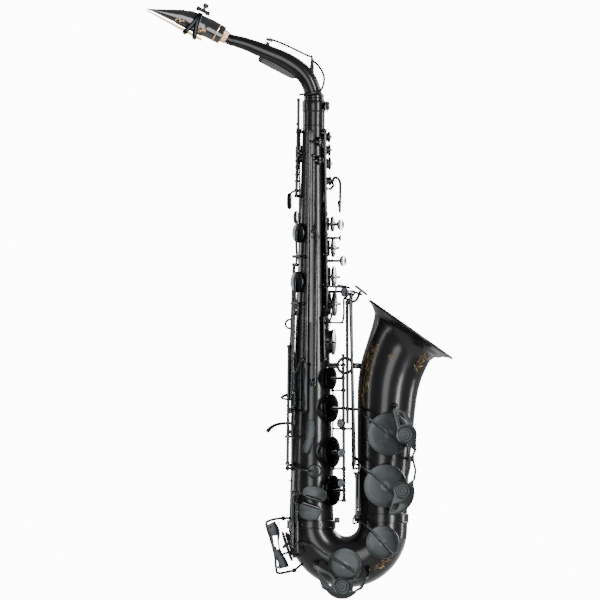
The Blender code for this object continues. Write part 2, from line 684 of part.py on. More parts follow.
def build_stacks():
    """Span of the hinge tube and place of the finger touch, key by key."""
    upper = (
        ("b_key", (109.0, 131.0), (31.0, -1.0, 119.5), UPPER_PEARLS, 6.4),
        ("bis_key", (84.5, 106.5), (30.5, -1.0, 103.5), (1, 0, 0), 3.8),
        ("a_key", (48.0, 82.0), (34.0, -1.0, 76.0), UPPER_PEARLS, 6.4),
        ("g_key", (22.0, 45.5), (35.5, -1.0, 39.0), UPPER_PEARLS, 6.2),
    )
    for name, span, spot, out, radius in upper:
        stack_key(name, UPPER_ROD, span, spot, out, UPPER_REST, radius)
    lower = (
        ("f_sharp_cup", (-78.0, -50.0), None),
        ("f_key", (-124.0, -80.5), (30.5, -27.5, -118.5)),
        ("e_key", (-172.0, -126.5), (30.8, -28.0, -154.0)),
        ("d_key", (-210.0, -174.5), (31.0, -28.0, -190.0)),
    )
    for name, span, spot in lower:
        stack_key(name, LOWER_ROD, span, spot, LOWER_PEARLS, LOWER_REST, 5.6)


# ---------------------------------------------------------------- side and trill keys
def touch(centre, angle, width, length, thick=2.4, up=(0, 0, 1)):
    """Flat rounded finger touch that faces out at an angle round the body."""
    return plate(stadium(width, length), centre, normal_at(angle), up, thick)


TRILL_SLAB = strap_outline([
    (0.8, 17.2, 3.6), (1.0, 14.0, 4.8), (1.0, 5.0, 4.9), (-0.1, -5.0, 4.8), (-2.6, -14.0, 4.6),
    (-4.4, -20.0, 3.9), (-5.2, -22.8, 1.8),
])


def rod_key(name, rod, span, cup_name, touch_pieces, touch_path, rest=0.0, cup_path=()):
    """Long hinge tube with a cup near one end and a touch near the other."""
    pieces = [tube(rod, 1.7, *span)]
    if cup_name:
        pieces += [*cup(cup_name, 12), arm([*cup_path, cup_top(cup_name, 0.6)], 1.3)]
    pieces += [arm(touch_path, 1.5), *touch_pieces]
    node(name, pieces, SATIN, swing(span, rod), rest)


def build_side_keys():
    rod_key("high_e_key", HIGH_E_ROD, (-47.0, 230.0), "high_e_key",
            [touch((-19.9, -28.8, -69.6), -34, 9.6, 25.0)],
            [along(HIGH_E_ROD, -41), (-13.5, -29.0, -44.0), (-19.6, -29.0, -62.0)],
            cup_path=[along(HIGH_E_ROD, 219), (-3.0, -22.5, 219.0)])
    rod_key("high_f_sharp_touch", F_SHARP_ROD, (-71.0, 103.0), None,
            [touch((-9.7, -34.9, -76.0), -10, 7.8, 62.0, 2.0)],
            [along(F_SHARP_ROD, -66), (-1.0, -32.5, -67.0), (-8.0, -34.0, -68.0)])
    rod_key("high_f_sharp_cup", F_SHARP_CUP_ROD, (112.5, 201.0), "high_f_sharp_cup",
            [], [along(F_SHARP_CUP_ROD, 118), (2.8, -26.0, 115.0), (4.6, -27.0, 108.0), (4.6, -27.0, 99.0)],
            cup_path=[along(F_SHARP_CUP_ROD, 196.5), (1.0, -23.5, 196.5)])
    rod_key("trill_key", TRILL_ROD, (-172.0, -28.0), "trill_key",
            [plate(TRILL_SLAB, (-0.2, -36.4, -132.0), (0, -1, 0), (0, 0, 1), 2.4)],
            [along(TRILL_ROD, -135), (-30.5, -17.0, -135.0), (-22.0, -31.0, -135.0), (-4.0, -36.3, -135.0)],
            rest=-5.0,
            cup_path=[along(TRILL_ROD, -167), (-29.5, -18.0, -167.5), (-20.0, -30.0, -170.0),
                      (-4.0, -34.6, -175.0)])
    rod_key("side_bb_touch", SIDE_BB_ROD, (-104.0, 11.0), None,
            [touch((-21.0, -29.5, -112.8), -38, 9.6, 21.0)],
            [along(SIDE_BB_ROD, -102), (-25.0, -25.0, -104.0), (-22.5, -29.2, -107.0)])
    rod_key("side_c_touch", SIDE_C_ROD, (-86.0, 70.0), None,
            [touch((-20.6, -29.0, -91.0), -38, 10.0, 17.0)],
            [along(SIDE_C_ROD, -84), (-35.5, 3.0, -87.0), (-36.5, -10.0, -89.0), (-32.0, -22.0, -90.0),
             (-23.0, -29.0, -91.0)])
    for name, turn_z, reach in (("side_c_cup", 81.0, 24.0), ("side_bb_cup", 24.5, 22.0)):
        angle, z, _, _ = BODY_HOLES[name]
        out = normal_at(angle)
        side = Vector((-out.y, out.x, 0))
        ride = body_radius(turn_z) + 6.0
        middle = out * ride
        low = (middle.x - side.x * 5.5, middle.y - side.y * 5.5, turn_z)
        high = (middle.x + side.x * 5.5, middle.y + side.y * 5.5, turn_z)
        tail = (*(out * (ride + 1.0)).xy, turn_z - 10.0)
        pieces = [cylinder(low, high, 1.9, 8), *cup(name),
                  arm([tail, (middle.x, middle.y, turn_z), cup_top(name, 0.8, (0, 0, -reach / 2)),
                       cup_top(name, 0.8, (0, 0, 3))], 1.5)]
        node(name, pieces, SATIN, (low, high))


# ---------------------------------------------------------------- palm, octave and thumb keys
def build_palm_keys():
    touches = {
        "palm_f_key": (-17.5, 25.0, 206.0), "palm_eb_key": (-9.0, 29.0, 185.0),
        "palm_d_key": (-0.5, 30.0, 166.0),
    }
    for name, rod in PALM_RODS.items():
        z = BODY_HOLES[name][1]
        spot = touches[name]
        hinge = along(rod, z)
        start = math.degrees(math.atan2(hinge.x, -hinge.y)) % 360
        end = BODY_HOLES[name][0]
        bend = [on_body(start + (end - start) * share, 6.6, z) for share in (0.3, 0.55, 0.8)]
        foot = along(rod, max(spot[2] - 6, rod[0][2] + 3))
        pieces = [tube(rod, 1.6), *cup(name, 12), arm([tuple(hinge), *bend, cup_top(name, 0.4)], 1.2),
                  arm([tuple(foot), tuple(foot.lerp(Vector(spot), 0.6) + Vector((0, 2.0, 0))), spot], 1.5),
                  plate(stadium(9.0, 20.0), spot, (-0.35, 0.94, 0), (0, 0, 1), 2.6)]
        node(name, pieces, SATIN, rod)
    hinge = ((20.4, -4.2, 162.5), (20.4, 4.2, 162.5))
    pieces = [cylinder(*hinge, 1.8, 8), *cup("front_f_key", 12),
              arm([(20.4, 0, 162.5), (23.6, 0, 166.0), cup_top("front_f_key", 0.4)], 1.3),
              arm([cup_top("front_f_key", 0.8), (26.0, 0, 176.4), (31.6, 0, 171.6), (32.2, 0, 158.0),
                   (32.0, 0, 136.0)], 1.7),
              plate(stadium(9.0, 15.0), (31.0, 0, 141.0), (1, 0, 0.15), (0, 0, 1), 2.6)]
    node("front_f_key", pieces, SATIN, hinge)


def build_octave_mechanism():
    lever = [tube(OCTAVE_ROD, 1.9, 155.0, 194.0),
             arm([along(OCTAVE_ROD, 160), (-24.5, 0.0, 159.0), (-28.0, 6.0, 156.0)], 1.5),
             plate(stadium(11.0, 20.0), (-28.6, 6.0, 147.5), (-0.9, 0.43, 0), (0, 0, 1), 2.4)]
    node("thumb_octave_lever", lever, SATIN, swing((155.0, 194.0), OCTAVE_ROD))
    vent = [tube(OCTAVE_ROD, 1.9, 197.5, 229.0), *cup("body_octave_key", 10),
            arm([along(OCTAVE_ROD, 205), cup_top("body_octave_key", 0.4)], 1.2)]
    node("body_octave_key", vent, SATIN, swing((197.5, 229.0), OCTAVE_ROD))
    link = [tube(OCTAVE_LINK_ROD, 1.5), ball((-18.5, 2.0, 269.0), 2.4),
            arm([along(OCTAVE_LINK_ROD, 240), (-20.5, 7.0, 240.0), (-20.5, 9.0, 240.0)], 1.3)]
    node("octave_link", link, NICKEL, OCTAVE_LINK_ROD)
    pivot = ((-2.6, 5.0, 317.0), (-2.6, -5.0, 317.0))
    side_arms = []
    for way in (1, -1):
        bends = [(-2.6, 6.0, 317.0), (6.0, 9.5, 309.0), (12.0, 12.5, 296.0), (9.0, 14.6, 282.0),
                 (0.0, 15.4, 277.6), (-8.0, 14.2, 276.0)]
        side_arms.append(arm([(x, way * y, z) for x, y, z in bends], 1.2))
    ring = arm([(-8.0, 14.2, 276.0), (-14.5, 9.5, 275.6), (-17.0, 0, 275.2), (-14.5, -9.5, 275.6),
                (-8.0, -14.2, 276.0)], 1.2)
    cap = cylinder((-54.55, 0, 339.1), (-53.3, 0, 342.4), 4.4, 12)
    beam = arm([(-53.5, 0, 342.0), (-40.0, 0, 337.2), (-24.0, 0, 330.0), (-8.0, 0, 322.4),
                (-2.6, 0, 321.0)], 1.6)
    axle = [cylinder((-2.6, 4.6, 317.0), (-2.6, 7.2, 317.0), 2.2, 8),
            cylinder((-2.6, -7.2, 317.0), (-2.6, -4.6, 317.0), 2.2, 8)]
    yoke = arm([(-2.6, 6.0, 317.0), (-2.8, 5.0, 320.6), (-3.0, 0, 321.6), (-2.8, -5.0, 320.6),
                (-2.6, -6.0, 317.0)], 1.3)
    node("neck_octave_key", [*axle, yoke, beam, cap, *side_arms, ring], SATIN, pivot)


# ---------------------------------------------------------------- little-finger and bell keys
def bell_key(name, rod, span, path, rest, touch_pieces, sides=18, pad=None):
    pieces = [tube(rod, 1.8, *span), *cup(name, sides, pad or 0.0), arm(path, 2.0), *touch_pieces]
    node(name, pieces, SATIN, swing(span, rod), rest)


def build_bell_keys():
    path = [along(LOW_B_ROD, -101.4), (50.6, -11.0, -101.6), (56.4, -19.6, -102.0), (61.0, -32.0, -103.4),
            (69.0, -46.5, -111.0), cup_top("low_b_key", 1.0), cup_top("low_b_key", 1.0, (12.6, 2.2, -14.6))]
    table = [plate([(-7, -5), (7.5, -5), (7.5, 5), (-7, 5)], (49.8, 16.0, 38.0), (0.35, 0, 0.94),
                   (0, 1, 0), 2.4),
             arm([along(LOW_B_ROD, 26), (40.6, -4.0, 28.0), (43.0, 8.0, 31.0), (48.0, 14.0, 37.8)], 1.7)]
    bell_key("low_b_key", LOW_B_ROD, (-119.0, 29.0), path, -5.5, table, pad=2.0)
    path = [along(LOW_BB_ROD, -160), (57.0, -30.0, -163.0), (66.0, -43.5, -172.0),
            cup_top("low_bb_key", 1.0), cup_top("low_bb_key", 1.0, (11.0, 1.4, -11.5))]
    table = [plate([(-9, -5), (9, -5), (9, 5), (-9, 5)], (56.0, 3.0, 41.0), (0.6, 0, 0.8), (0, 1, 0), 2.4),
             arm([along(LOW_BB_ROD, 27), (51.5, -17.0, 29.0), (54.5, -6.0, 36.0), (55.5, 1.0, 41.0)], 1.7)]
    bell_key("low_bb_key", LOW_BB_ROD, (-166.0, 29.0), path, -5.5, table, pad=2.0)
    for name, rest, parent_rod in (("low_b", -5.5, LOW_B_ROD), ("low_bb", -5.5, LOW_BB_ROD)):
        node(f"{name}_pad", [pad_disc(f"{name}_key", 1.7, 18)], PAD, swing((-100, 0), parent_rod), rest)
    depth = -bow_radius(335) - RIM_RISE - PAD_GAP - CUP_THICK
    path = [along(C_SHARP_ROD, -234), (58.4, -33.0, -235.6), (68.0, depth - 1.2, -242.6),
            (85.4, depth - 1.0, -260.9), (97.5, depth - 1.0, -274.6)]
    link = [arm([along(C_SHARP_ROD, -181), (53.0, -20.0, -180.0), (51.0, -15.5, -178.0)], 1.5)]
    bell_key("low_c_sharp_key", C_SHARP_ROD, (-236.5, -179.0), path, 0.0, link, 16)
    lever = [tube(C_SHARP_LEVER_ROD, 1.7, -172.0, 38.5),
             arm([along(C_SHARP_LEVER_ROD, -168), (50.0, -9.0, -169.0), (49.6, -12.5, -172.0)], 1.4),
             arm([along(C_SHARP_LEVER_ROD, 34), (43.5, 4.0, 36.0), (38.0, 16.0, 44.5)], 1.6),
             plate([(-8, -5), (8, -5), (8, 5), (-8, 5)], (37.0, 21.0, 45.5), (0.2, 0, 0.98), (0, 1, 0), 2.4)]
    node("low_c_sharp_lever", lever, SATIN, swing((-172.0, 38.5), C_SHARP_LEVER_ROD))


def build_g_sharp():
    top = Vector(cup_top("g_sharp_key", 0.8))
    hinge = along(G_SHARP_ROD, -21.3)
    pieces = [tube(G_SHARP_ROD, 1.8, -41.0, 6.0), *cup("g_sharp_key", 16),
              arm([tuple(hinge), (22.0, -24.0, -21.3), (27.0, -15.0, -21.3), tuple(top)], 1.5),
              arm([along(G_SHARP_ROD, 2), (20.0, -27.0, 3.0), (25.0, -27.0, 20.0), (28.0, -25.5, 44.0)], 1.6),
              plate([(-5, -12), (5, -12), (5, 12), (-5, 12)], (29.5, -25.0, 45.0), (0.05, 0, 1),
                    (1, 0, 0), 2.4)]
    node("g_sharp_key", pieces, SATIN, swing((-41.0, 6.0), G_SHARP_ROD))


def build_pinky_keys():
    depth = -bow_radius(270) - RIM_RISE - PAD_GAP - CUP_THICK
    path = [along(LOW_C_ROD, -263), (-10.0, -33.0, -263.0), (0.0, depth - 1.0, -263.4),
            (41.1, depth - 1.0, -288.5), (52.5, depth - 1.0, -295.6)]
    outline = [(-9.5, 14.5), (9.0, 8.5), (15.5, 7.0), (13.5, 1.0), (9.5, -6.0), (0.5, -7.0), (-8.5, -4.5),
               (-13.0, 1.0), (-13.0, 9.5)]
    plate_c = plate(outline, (-1.0, -41.5, -228.5), (0, -1, 0), (0, 0, 1), 2.6)
    roller_c = cylinder((-9.4, -42.6, -213.6), (12.0, -42.6, -220.6), 2.2, 8)
    hold_c = arm([along(LOW_C_ROD, -224), (-15.0, -35.0, -225.0), (-6.0, -41.0, -226.0)], 1.8)
    pieces = [tube(LOW_C_ROD, 1.8, -274.0, -217.0), *cup("low_c_key", 16), arm(path, 1.9), plate_c,
              hold_c, roller_c]
    node("low_c_key", pieces, SATIN, swing((-274.0, -217.0), LOW_C_ROD), -5.0)
    middle = Vector(cup_top("low_eb_key", 0.8))
    path = [along(LOW_EB_ROD, -262), (-30.0, -21.0, -264.0), (-33.5, -12.0, middle.z), tuple(middle)]
    outline = [(-8.5, 5.5), (-3.0, 8.5), (4.5, 9.0), (13.5, 7.0), (20.0, 2.0), (20.0, -5.5), (17.5, -9.5),
               (14.5, -9.5), (-5.0, -3.5), (-8.5, -3.0)]
    plate_eb = plate(outline, (-2.0, -46.0, -202.5), (0, -1, 0), (0, 0, 1), 2.6)
    roller_eb = cylinder((-7.6, -47.0, -205.6), (13.2, -47.0, -212.4), 2.2, 8)
    hold_eb = arm([along(LOW_EB_ROD, -205.0), (-20.5, -34.0, -204.5), (-8.0, -45.4, -202.0)], 1.8)
    pieces = [tube(LOW_EB_ROD, 1.8, -268.0, -204.5), *cup("low_eb_key", 16), arm(path, 1.8), plate_eb,
              roller_eb, hold_eb]
    node("low_eb_key", pieces, SATIN, swing((-268.0, -204.5), LOW_EB_ROD))


# ---------------------------------------------------------------- posts, ribs and guards
def strip(start, end, width, thick, out):
    """Flat bar between two points, its face square to `out`."""
    low, high = Vector(start), Vector(end)
    axis = (high - low).normalized()
    face = Vector(out)
    face = (face - axis * face.dot(axis)).normalized()
    side = axis.cross(face)
    shape = bmesh.new()
    bmesh.ops.create_cube(shape, size=1.0)
    size = Matrix.Diagonal((width * MM, thick * MM, (high - low).length * MM, 1.0))
    turn = Matrix((side, face, axis)).transposed().to_4x4()
    bmesh.ops.transform(shape, matrix=Matrix.Translation(place(*((low + high) / 2))) @ turn @ size,
                        verts=shape.verts)
    mesh = bpy.data.meshes.new("piece")
    shape.to_mesh(mesh)
    shape.free()
    return finish_mesh(mesh)


def rib(angle, low, high, width=4.0):
    """Strip soldered along the body tube."""
    return strip(on_body(angle, 1.35, low), on_body(angle, 1.35, high), width, 1.6, normal_at(angle))


def hoop(first, last, z, radius=0.9):
    """Wire round part of the body tube that ties two ribs together."""
    steps = max(2, round(abs(last - first) / 15))
    return arm([on_body(first + (last - first) * step / steps, 1.5, z) for step in range(steps + 1)], radius)


def post(foot, head, axis, rod_radius=2.3, width=1.5, radius=0.9):
    """Post from its foot to a round head on the hinge line."""
    line = Vector(axis).normalized() * width / 2
    middle = Vector(head)
    return [cylinder(foot, head, radius), cylinder(tuple(middle - line), tuple(middle + line), rod_radius, 7)]


def body_posts(rod, heights, angle):
    """Posts that stand on a rib and end on a hinge line."""
    axis = Vector(rod[1]) - Vector(rod[0])
    made = []
    for z in heights:
        made += post(on_body(angle, 1.35, z), tuple(along(rod, z)), axis)
    return made


def build_right_posts():
    pieces = [rib(40, 19.5, 134.5), *body_posts(UPPER_ROD, (20.6, 46.75, 83.25, 107.75, 132.2), 42),
              strip(on_body(40, 1.4, 133), on_body(52, 1.4, 146), 2.4, 1.6, normal_at(46)),
              rib(52, 145.0, 232.5, 2.4), *body_posts(UPPER_ROD, (232.0,), 51),
              tube(UPPER_ROD, 1.2, 132.4, 232.0)]
    pieces += [strip(on_body(40, 1.4, 21), on_body(30, 1.4, 6), 3.0, 1.6, normal_at(35)),
               rib(30, -43.0, 8.0, 3.0), *body_posts(G_SHARP_ROD, (-42.3, 7.4), 32)]
    pieces += [hoop(40, -6, 107.75), rib(-6, -73.0, 232.0, 3.0),
               *body_posts(HIGH_E_ROD, (-48.2, 231.2), -8), *body_posts(F_SHARP_ROD, (-72.2, 104.2), -4),
               *body_posts(F_SHARP_CUP_ROD, (111.2, 202.3), -5)]
    node("right_side_posts", pieces, NICKEL)


def build_lower_posts():
    pieces = [rib(96, -213.0, -47.5), *body_posts(LOWER_ROD, (-48.8, -79.25, -125.25, -173.25, -211.2), 94),
              tube(LOWER_ROD, 1.2, -48.8, -38.0)]
    head = along(LOWER_ROD, -125.25)
    pieces += [cylinder(tuple(head), (48.4, -14.0, -125.2), 1.3, 8),
               cylinder((42.7, -12.0, -126.2), (42.7, -12.0, -124.6), 2.3, 8),
               ball((48.6, -14.0, -125.2), 2.2)]
    node("lower_stack_posts", pieces, NICKEL)


def build_player_posts():
    pieces = [rib(-70, -202.0, 26.0), rib(-84, -190.0, -15.0, 3.0), hoop(-84, -70, -188.0),
              hoop(-84, -70, -17.0), *body_posts(TRILL_ROD, (-173.2, -26.8), -72),
              *body_posts(SIDE_BB_ROD, (-105.2, 12.2), -68), *body_posts(SIDE_C_ROD, (-87.3,), -73),
              hoop(-70, -35, 24.5), hoop(-70, -34, -200.5)]
    for way in (-1, 1):
        pieces += hinge_ear(-54, 24.5, way)
    pieces += post(on_body(-42, 1.35, -200.5), tuple(along(LOW_EB_ROD, -202.0)), (0, 0, 1))
    pieces += post(on_body(-34, 1.35, -200.5), tuple(along(LOW_C_ROD, -215.5)), (0, 0, 1))
    node("trill_key_posts", pieces, NICKEL)
    pieces = [rib(-104, 69.0, 233.5, 3.0), *body_posts(SIDE_C_ROD, (71.3,), -102), hoop(-104, -38, 81.0),
              *body_posts(OCTAVE_ROD, (153.6, 195.7, 230.4), -102),
              *body_posts(OCTAVE_LINK_ROD, (233.0,), -102)]
    for way in (-1, 1):
        pieces += hinge_ear(-54, 81.0, way)
    node("player_side_posts", pieces, NICKEL)


def hinge_ear(angle, z, way):
    """One of the two posts that hold a cup lever's crosswise hinge."""
    out = normal_at(angle)
    side = Vector((-out.y, out.x, 0))
    middle = out * (body_radius(z) + 6.0)
    head = middle + side * way * 6.9 + Vector((0, 0, z))
    foot = on_body(angle + way * 17, 1.4, z)
    return post(foot, tuple(head), side)


def build_palm_posts():
    pieces = [rib(175, 158.0, 233.0)]
    heights = {"palm_d_key": (158.9, 201.1), "palm_eb_key": (174.9, 214.1), "palm_f_key": (188.9, 232.1)}
    for name, rod in PALM_RODS.items():
        pieces += body_posts(rod, heights[name], 175)
    pieces.append(hoop(175, 66, 162.5, 0.7))
    for way in (-1, 1):
        pieces += post(on_body(88 + way * 18, 1.2, 162.5), (20.4, way * 5.7, 162.5), (0, 1, 0))
    node("palm_key_posts", pieces, NICKEL)


def skin(z, angle, rise):
    """Point off the bell tube's wall, by the angle from the side facing the body."""
    turn = math.radians(angle)
    reach = bell_radius(z) + rise
    return (BELL[0][0] - reach * math.cos(turn), -reach * math.sin(turn), z)


def build_bell_posts():
    top_b, top_bb, top_cs = along(LOW_B_ROD, 30.2), along(LOW_BB_ROD, 30.2), along(C_SHARP_LEVER_ROD, 39.7)
    foot = (body_radius(2.0) + 0.8, 0, 2.0)
    pieces = [strip((foot[0], 0, 2.0), (37.0, 0, 2.0), 5.0, 2.4, (0, 0, 1)),
              strip((foot[0] + 0.4, 0, -3.5), (foot[0] + 0.4, 0, 7.0), 5.0, 1.4, (1, 0, 0)),
              arm([(36.0, 0, 2.0), (37.4, -4.0, 12.0), (37.4, -6.0, 30.5), tuple(top_b), tuple(top_bb)], 1.2),
              arm([(37.4, -6.0, 30.5), (41.5, -4.8, 34.0), (41.8, -4.5, 40.0), tuple(top_cs)], 1.0)]
    for spot in (top_b, top_bb, top_cs):
        pieces.append(cylinder(spot - Vector((0, 0, 0.8)), spot + Vector((0, 0, 0.8)), 2.2, 8))
    node("bell_key_posts", pieces, NICKEL)
    bb_low, lever_low = along(LOW_BB_ROD, -167.3), along(C_SHARP_LEVER_ROD, -173.2)
    cs_high, cs_low = along(C_SHARP_ROD, -177.6), along(C_SHARP_ROD, -237.8)
    pieces = [strip(skin(-166, 28, 1.5), skin(-225, 28, 1.5), 4.0, 1.4, skin(0, 28, -60)),
              arm([skin(-172, 28, 1.5), (52.5, -9.5, -173.2), tuple(lever_low)], 1.2),
              arm([skin(-169, 28, 1.5), tuple(bb_low)], 1.2), arm([skin(-178, 28, 1.5), tuple(cs_high)], 1.2),
              arm([skin(-223, 28, 1.5), (51.5, -16.0, -230.0), (50.0, -20.0, -238.2), tuple(cs_low)], 1.0)]
    for spot in (bb_low, lever_low, cs_high, cs_low):
        pieces.append(cylinder(spot - Vector((0, 0, 0.7)), spot + Vector((0, 0, 0.7)), 2.2, 8))
    node("bell_side_posts", pieces, NICKEL)


def torus(centre, major, minor, normal=(0, -1, 0), sides=12):
    turn = Vector((0, 0, 1)).rotation_difference(Vector(normal)).to_matrix()
    points = []
    for step in range(sides):
        angle = 2 * math.pi * step / sides
        around = Vector((major * math.cos(angle), major * math.sin(angle), 0))
        points.append(tuple(Vector(centre) + turn @ around))
    return arm(points, minor, closed=True)


def guard_plate(outline, face, thick, windows=()):
    """Flat guard plate in a plane square to the viewing side, at a depth."""
    return plate(outline, (0, face, 0), (0, -1, 0), (0, 0, 1), thick, windows)


B_RING, BB_RING, C_RING = (111.4, -131.5), (108.7, -198.6), (36.9, -314.0)
RING_R = 8.7                        # bumper ring in a guard plate
PLATE_R = 11.0                      # guard plate's inner edge round the ring
B_GUARD = [(122.0, -151.0), (125.0, -150.0), *arc(B_RING, 14.3, -15, 48), (113.0, -105.0), (106.0, -101.0),
           (98.0, -99.5), (96.5, -103.0), (100.0, -116.0), *arc(B_RING, PLATE_R, 148, 290)]
B_WINDOW = [(101.5, -105.5), (107.5, -105.5), (114.0, -118.0), (105.5, -120.0)]
BB_GUARD = [(122.5, -184.0), *arc((96.0, -200.0), 27.5, 18, -92), (92.0, -226.5), (95.5, -214.5),
            *arc(BB_RING, PLATE_R, 205, 55), (116.5, -188.5)]
BB_WINDOW = [(99.5, -214.0), (105.5, -214.0), (102.5, -220.5), (97.0, -223.5)]
C_GUARD = [(2.5, -291.5), (6.0, -294.0), (13.0, -316.0), *arc((37.0, -306.0), 22.8, 215, 325), (62.0, -316.5),
           (66.0, -305.5), (65.0, -302.0), (50.8, -305.0), *arc(C_RING, PLATE_R, 50, 130), (23.0, -297.0),
           (14.0, -292.5), (7.5, -288.5), (3.0, -288.0)]
C_WINDOWS = (
    [(10.0, -296.5), (20.5, -299.5), (25.5, -305.0), (23.5, -313.0), (17.5, -307.5)],
    [(51.0, -309.5), (60.5, -307.0), (59.0, -313.5), (50.5, -319.0)],
)
EB_GUARD = strap_outline([
    (-48.5, -238.5, 5.5), (-43.5, -249.5, 6.0), (-43.0, -262.0, 4.6), (-39.5, -275.0, 4.6),
    (-34.5, -284.5, 5.5), (-32.5, -292.5, 6.5),
])
EB_WINDOW = strap_outline([(-43.5, -254.0, 2.4), (-42.6, -262.0, 2.2), (-40.6, -270.0, 2.0)])


def bell_guard():
    """Plate guard over the low B and low Bb cups, held by three feet on the bell."""
    face = -57.0
    inner, outer = face + 0.15, face - 1.6
    pieces = [torus((B_RING[0], face, B_RING[1]), RING_R, 2.0),
              torus((BB_RING[0], face, BB_RING[1]), RING_R, 2.0),
              guard_plate(B_GUARD, face, 2.4, [B_WINDOW]), guard_plate(BB_GUARD, face, 2.4, [BB_WINDOW]),
              arm([(113.3, inner, -140.2), (116.1, inner, -152.7), (117.5, inner, -164.7),
                   (116.0, inner, -175.5), (112.7, inner, -187.9)], 1.5),
              arm([(124.2, inner, -149.3), (120.7, outer, -157.0), (122.0, inner, -164.7),
                   (124.0, inner, -174.3), (122.6, inner, -185.5)], 1.3),
              arm([(120.6, face, -158.0), (121.0, -30.0, -160.6), (120.2, -12.0, -161.0)], 1.7),
              arm([(117.4, inner, -160.5), (120.6, inner, -158.6)], 1.3),
              arm([(99.2, face, -102.0), (99.4, -50.0, -98.0), (99.4, -36.0, -97.2)], 1.6),
              arm([(94.4, face, -226.4), (95.0, -48.0, -225.4), (95.4, -34.0, -223.2)], 1.6),
              cylinder((99.4, -38.8, -97.2), (99.3, -34.4, -97.2), 3.6, 8),
              cylinder((122.0, -12.0, -161.0), (118.8, -11.4, -161.0), 3.4, 8),
              cylinder((95.4, -35.0, -223.2), (95.2, -29.0, -223.2), 3.0, 8)]
    node("bell_key_guard", pieces, SATIN)


def low_c_guard():
    face = -53.0
    pieces = [torus((C_RING[0], face, C_RING[1]), RING_R, 1.9), guard_plate(C_GUARD, face, 2.4, C_WINDOWS),
              arm([(4.8, -33.0, -287.2), (4.4, -46.0, -288.6), (5.0, face, -290.4)], 1.6),
              arm([(64.6, face, -304.0), (68.0, -46.0, -301.0), (69.0, -34.0, -296.0)], 1.6),
              cylinder((5.0, -35.0, -287.0), (5.2, -27.4, -286.0), 3.2, 8),
              cylinder((69.0, -35.5, -296.0), (68.2, -30.2, -291.5), 3.2, 8)]
    node("low_c_guard", pieces, SATIN)


def low_eb_guard():
    """Bumper wire over the low Eb cup, its plate on the viewing side, and the rods' lower posts."""
    turn = math.radians(EB_HOLE_ANGLE)
    out = (math.cos(turn), 0, math.sin(turn))
    front = -21.6
    pieces = [torus(cup_top("low_eb_key", 13.4), 7.0, 1.7, out),
              arm([(-27.2, 0, -232.9), (-38.2, 0, -233.2), (-50.0, 0, -236.0), (-54.1, 0, -240.4),
                   (-48.5, 0, -258.7), (-43.5, 0, -277.6), (-42.0, 0, -292.0), (-39.4, 0, -299.0),
                   (-25.6, 0, -296.8), (-20.7, 0, -295.7), (-12.0, 0, -288.6)], 1.5),
              ball((-33.6, 0.2, -233.2), 2.8), ball((-20.2, 0.2, -295.4), 2.8),
              guard_plate(EB_GUARD, front, 1.8, [EB_WINDOW]),
              arm([(-48.6, front, -243.4), (-52.4, -9.0, -241.8), (-53.2, 0.4, -241.6)], 1.4),
              arm([(-36.4, front, -290.4), (-40.6, -9.0, -292.0), (-42.0, 0.4, -290.6)], 1.4),
              arm([(-36.2, front - 0.2, -276.4), (-31.0, -26.5, -274.8), (-27.0, -27.5, -273.6),
                   (-22.8, -24.6, -271.4)], 1.3),
              arm([(-27.0, -27.5, -273.6), (-20.0, -30.0, -277.0), (-16.6, -28.4, -277.3)], 1.2),
              cylinder((-22.8, -24.6, -272.1), (-22.8, -24.6, -270.5), 2.3, 8),
              cylinder((-16.6, -28.4, -278.0), (-16.6, -28.4, -276.4), 2.3, 8)]
    node("low_eb_guard", pieces, SATIN)


def build_fittings():
    ring = torus((-27.1, 0, 0), 5.3, 1.25, (0, -1, 0), 16)
    stem = strip((-22.3, 0, -4.5), (-22.3, 0, 4.5), 3.0, 2.4, (1, 0, 0))
    base = strip((-21.0 - 0.25, 0, -13.0), (-19.9 - 1.15, 0, 13.0), 7.0, 1.2, (1, 0, 0))
    node("strap_ring", [ring, stem, base], NICKEL)
    slope = body_radius(-122)
    base = strip((-(body_radius(-134) + 1.2), 4.0, -134.0), (-(body_radius(-110) + 1.2), 4.0, -110.0),
                 9.0, 1.4, (1, 0, 0))
    hook = arm([(-slope - 1.5, 4.0, -119.0), (-34.0, 4.0, -119.2), (-45.0, 4.0, -121.4), (-51.5, 4.0, -126.0),
                (-53.6, 4.0, -129.0)], 1.6)
    leaf = plate([(-7.5, -4.0), (4.0, -5.0), (10.5, -3.4), (10.5, 3.4), (4.0, 5.0), (-7.5, 4.0)],
                 (-44.0, 4.0, -121.8), (-0.4, -0.3, 0.87), (0, 1, 0), 2.4)
    node("thumb_hook", [base, hook, leaf], BLACK)
    wall = body_radius(128)
    rest = cylinder((-(wall + 2.6), 5.0, 128.0), (-(wall + 6.4), 6.0, 128.0), 8.5, 12, 7.0)
    node("thumb_rest", [rest], BLACK)
    link = torus((39.5, 12.0, -49.5), 9.0, 1.8, (0, -1, 0), 14)
    to_body = strip((31.0, 12.0, -49.5), (20.6, 12.0, -49.5), 7.0, 3.0, (0, 1, 0))
    foot = strip((19.4, 12.6, -56.0), (19.4, 12.6, -43.0), 5.0, 1.6, (0.85, 0.52, 0))
    to_bell = strip((48.0, 12.0, -49.5), (58.2, 12.0, -49.5), 7.0, 3.0, (0, 1, 0))
    node("bell_brace", [link, to_body, to_bell, foot], NICKEL)


def main():
    clear_scene()
    collection(ASSEMBLY)
    build_tubes()
    build_ferrules()
    build_neck()
    build_mouthpiece()
    build_stacks()
    build_side_keys()
    build_palm_keys()
    build_octave_mechanism()
    build_bell_keys()
    build_g_sharp()
    build_pinky_keys()
    build_right_posts()
    build_lower_posts()
    build_player_posts()
    build_palm_posts()
    build_bell_posts()
    bell_guard()
    low_c_guard()
    low_eb_guard()
    build_fittings()


main()
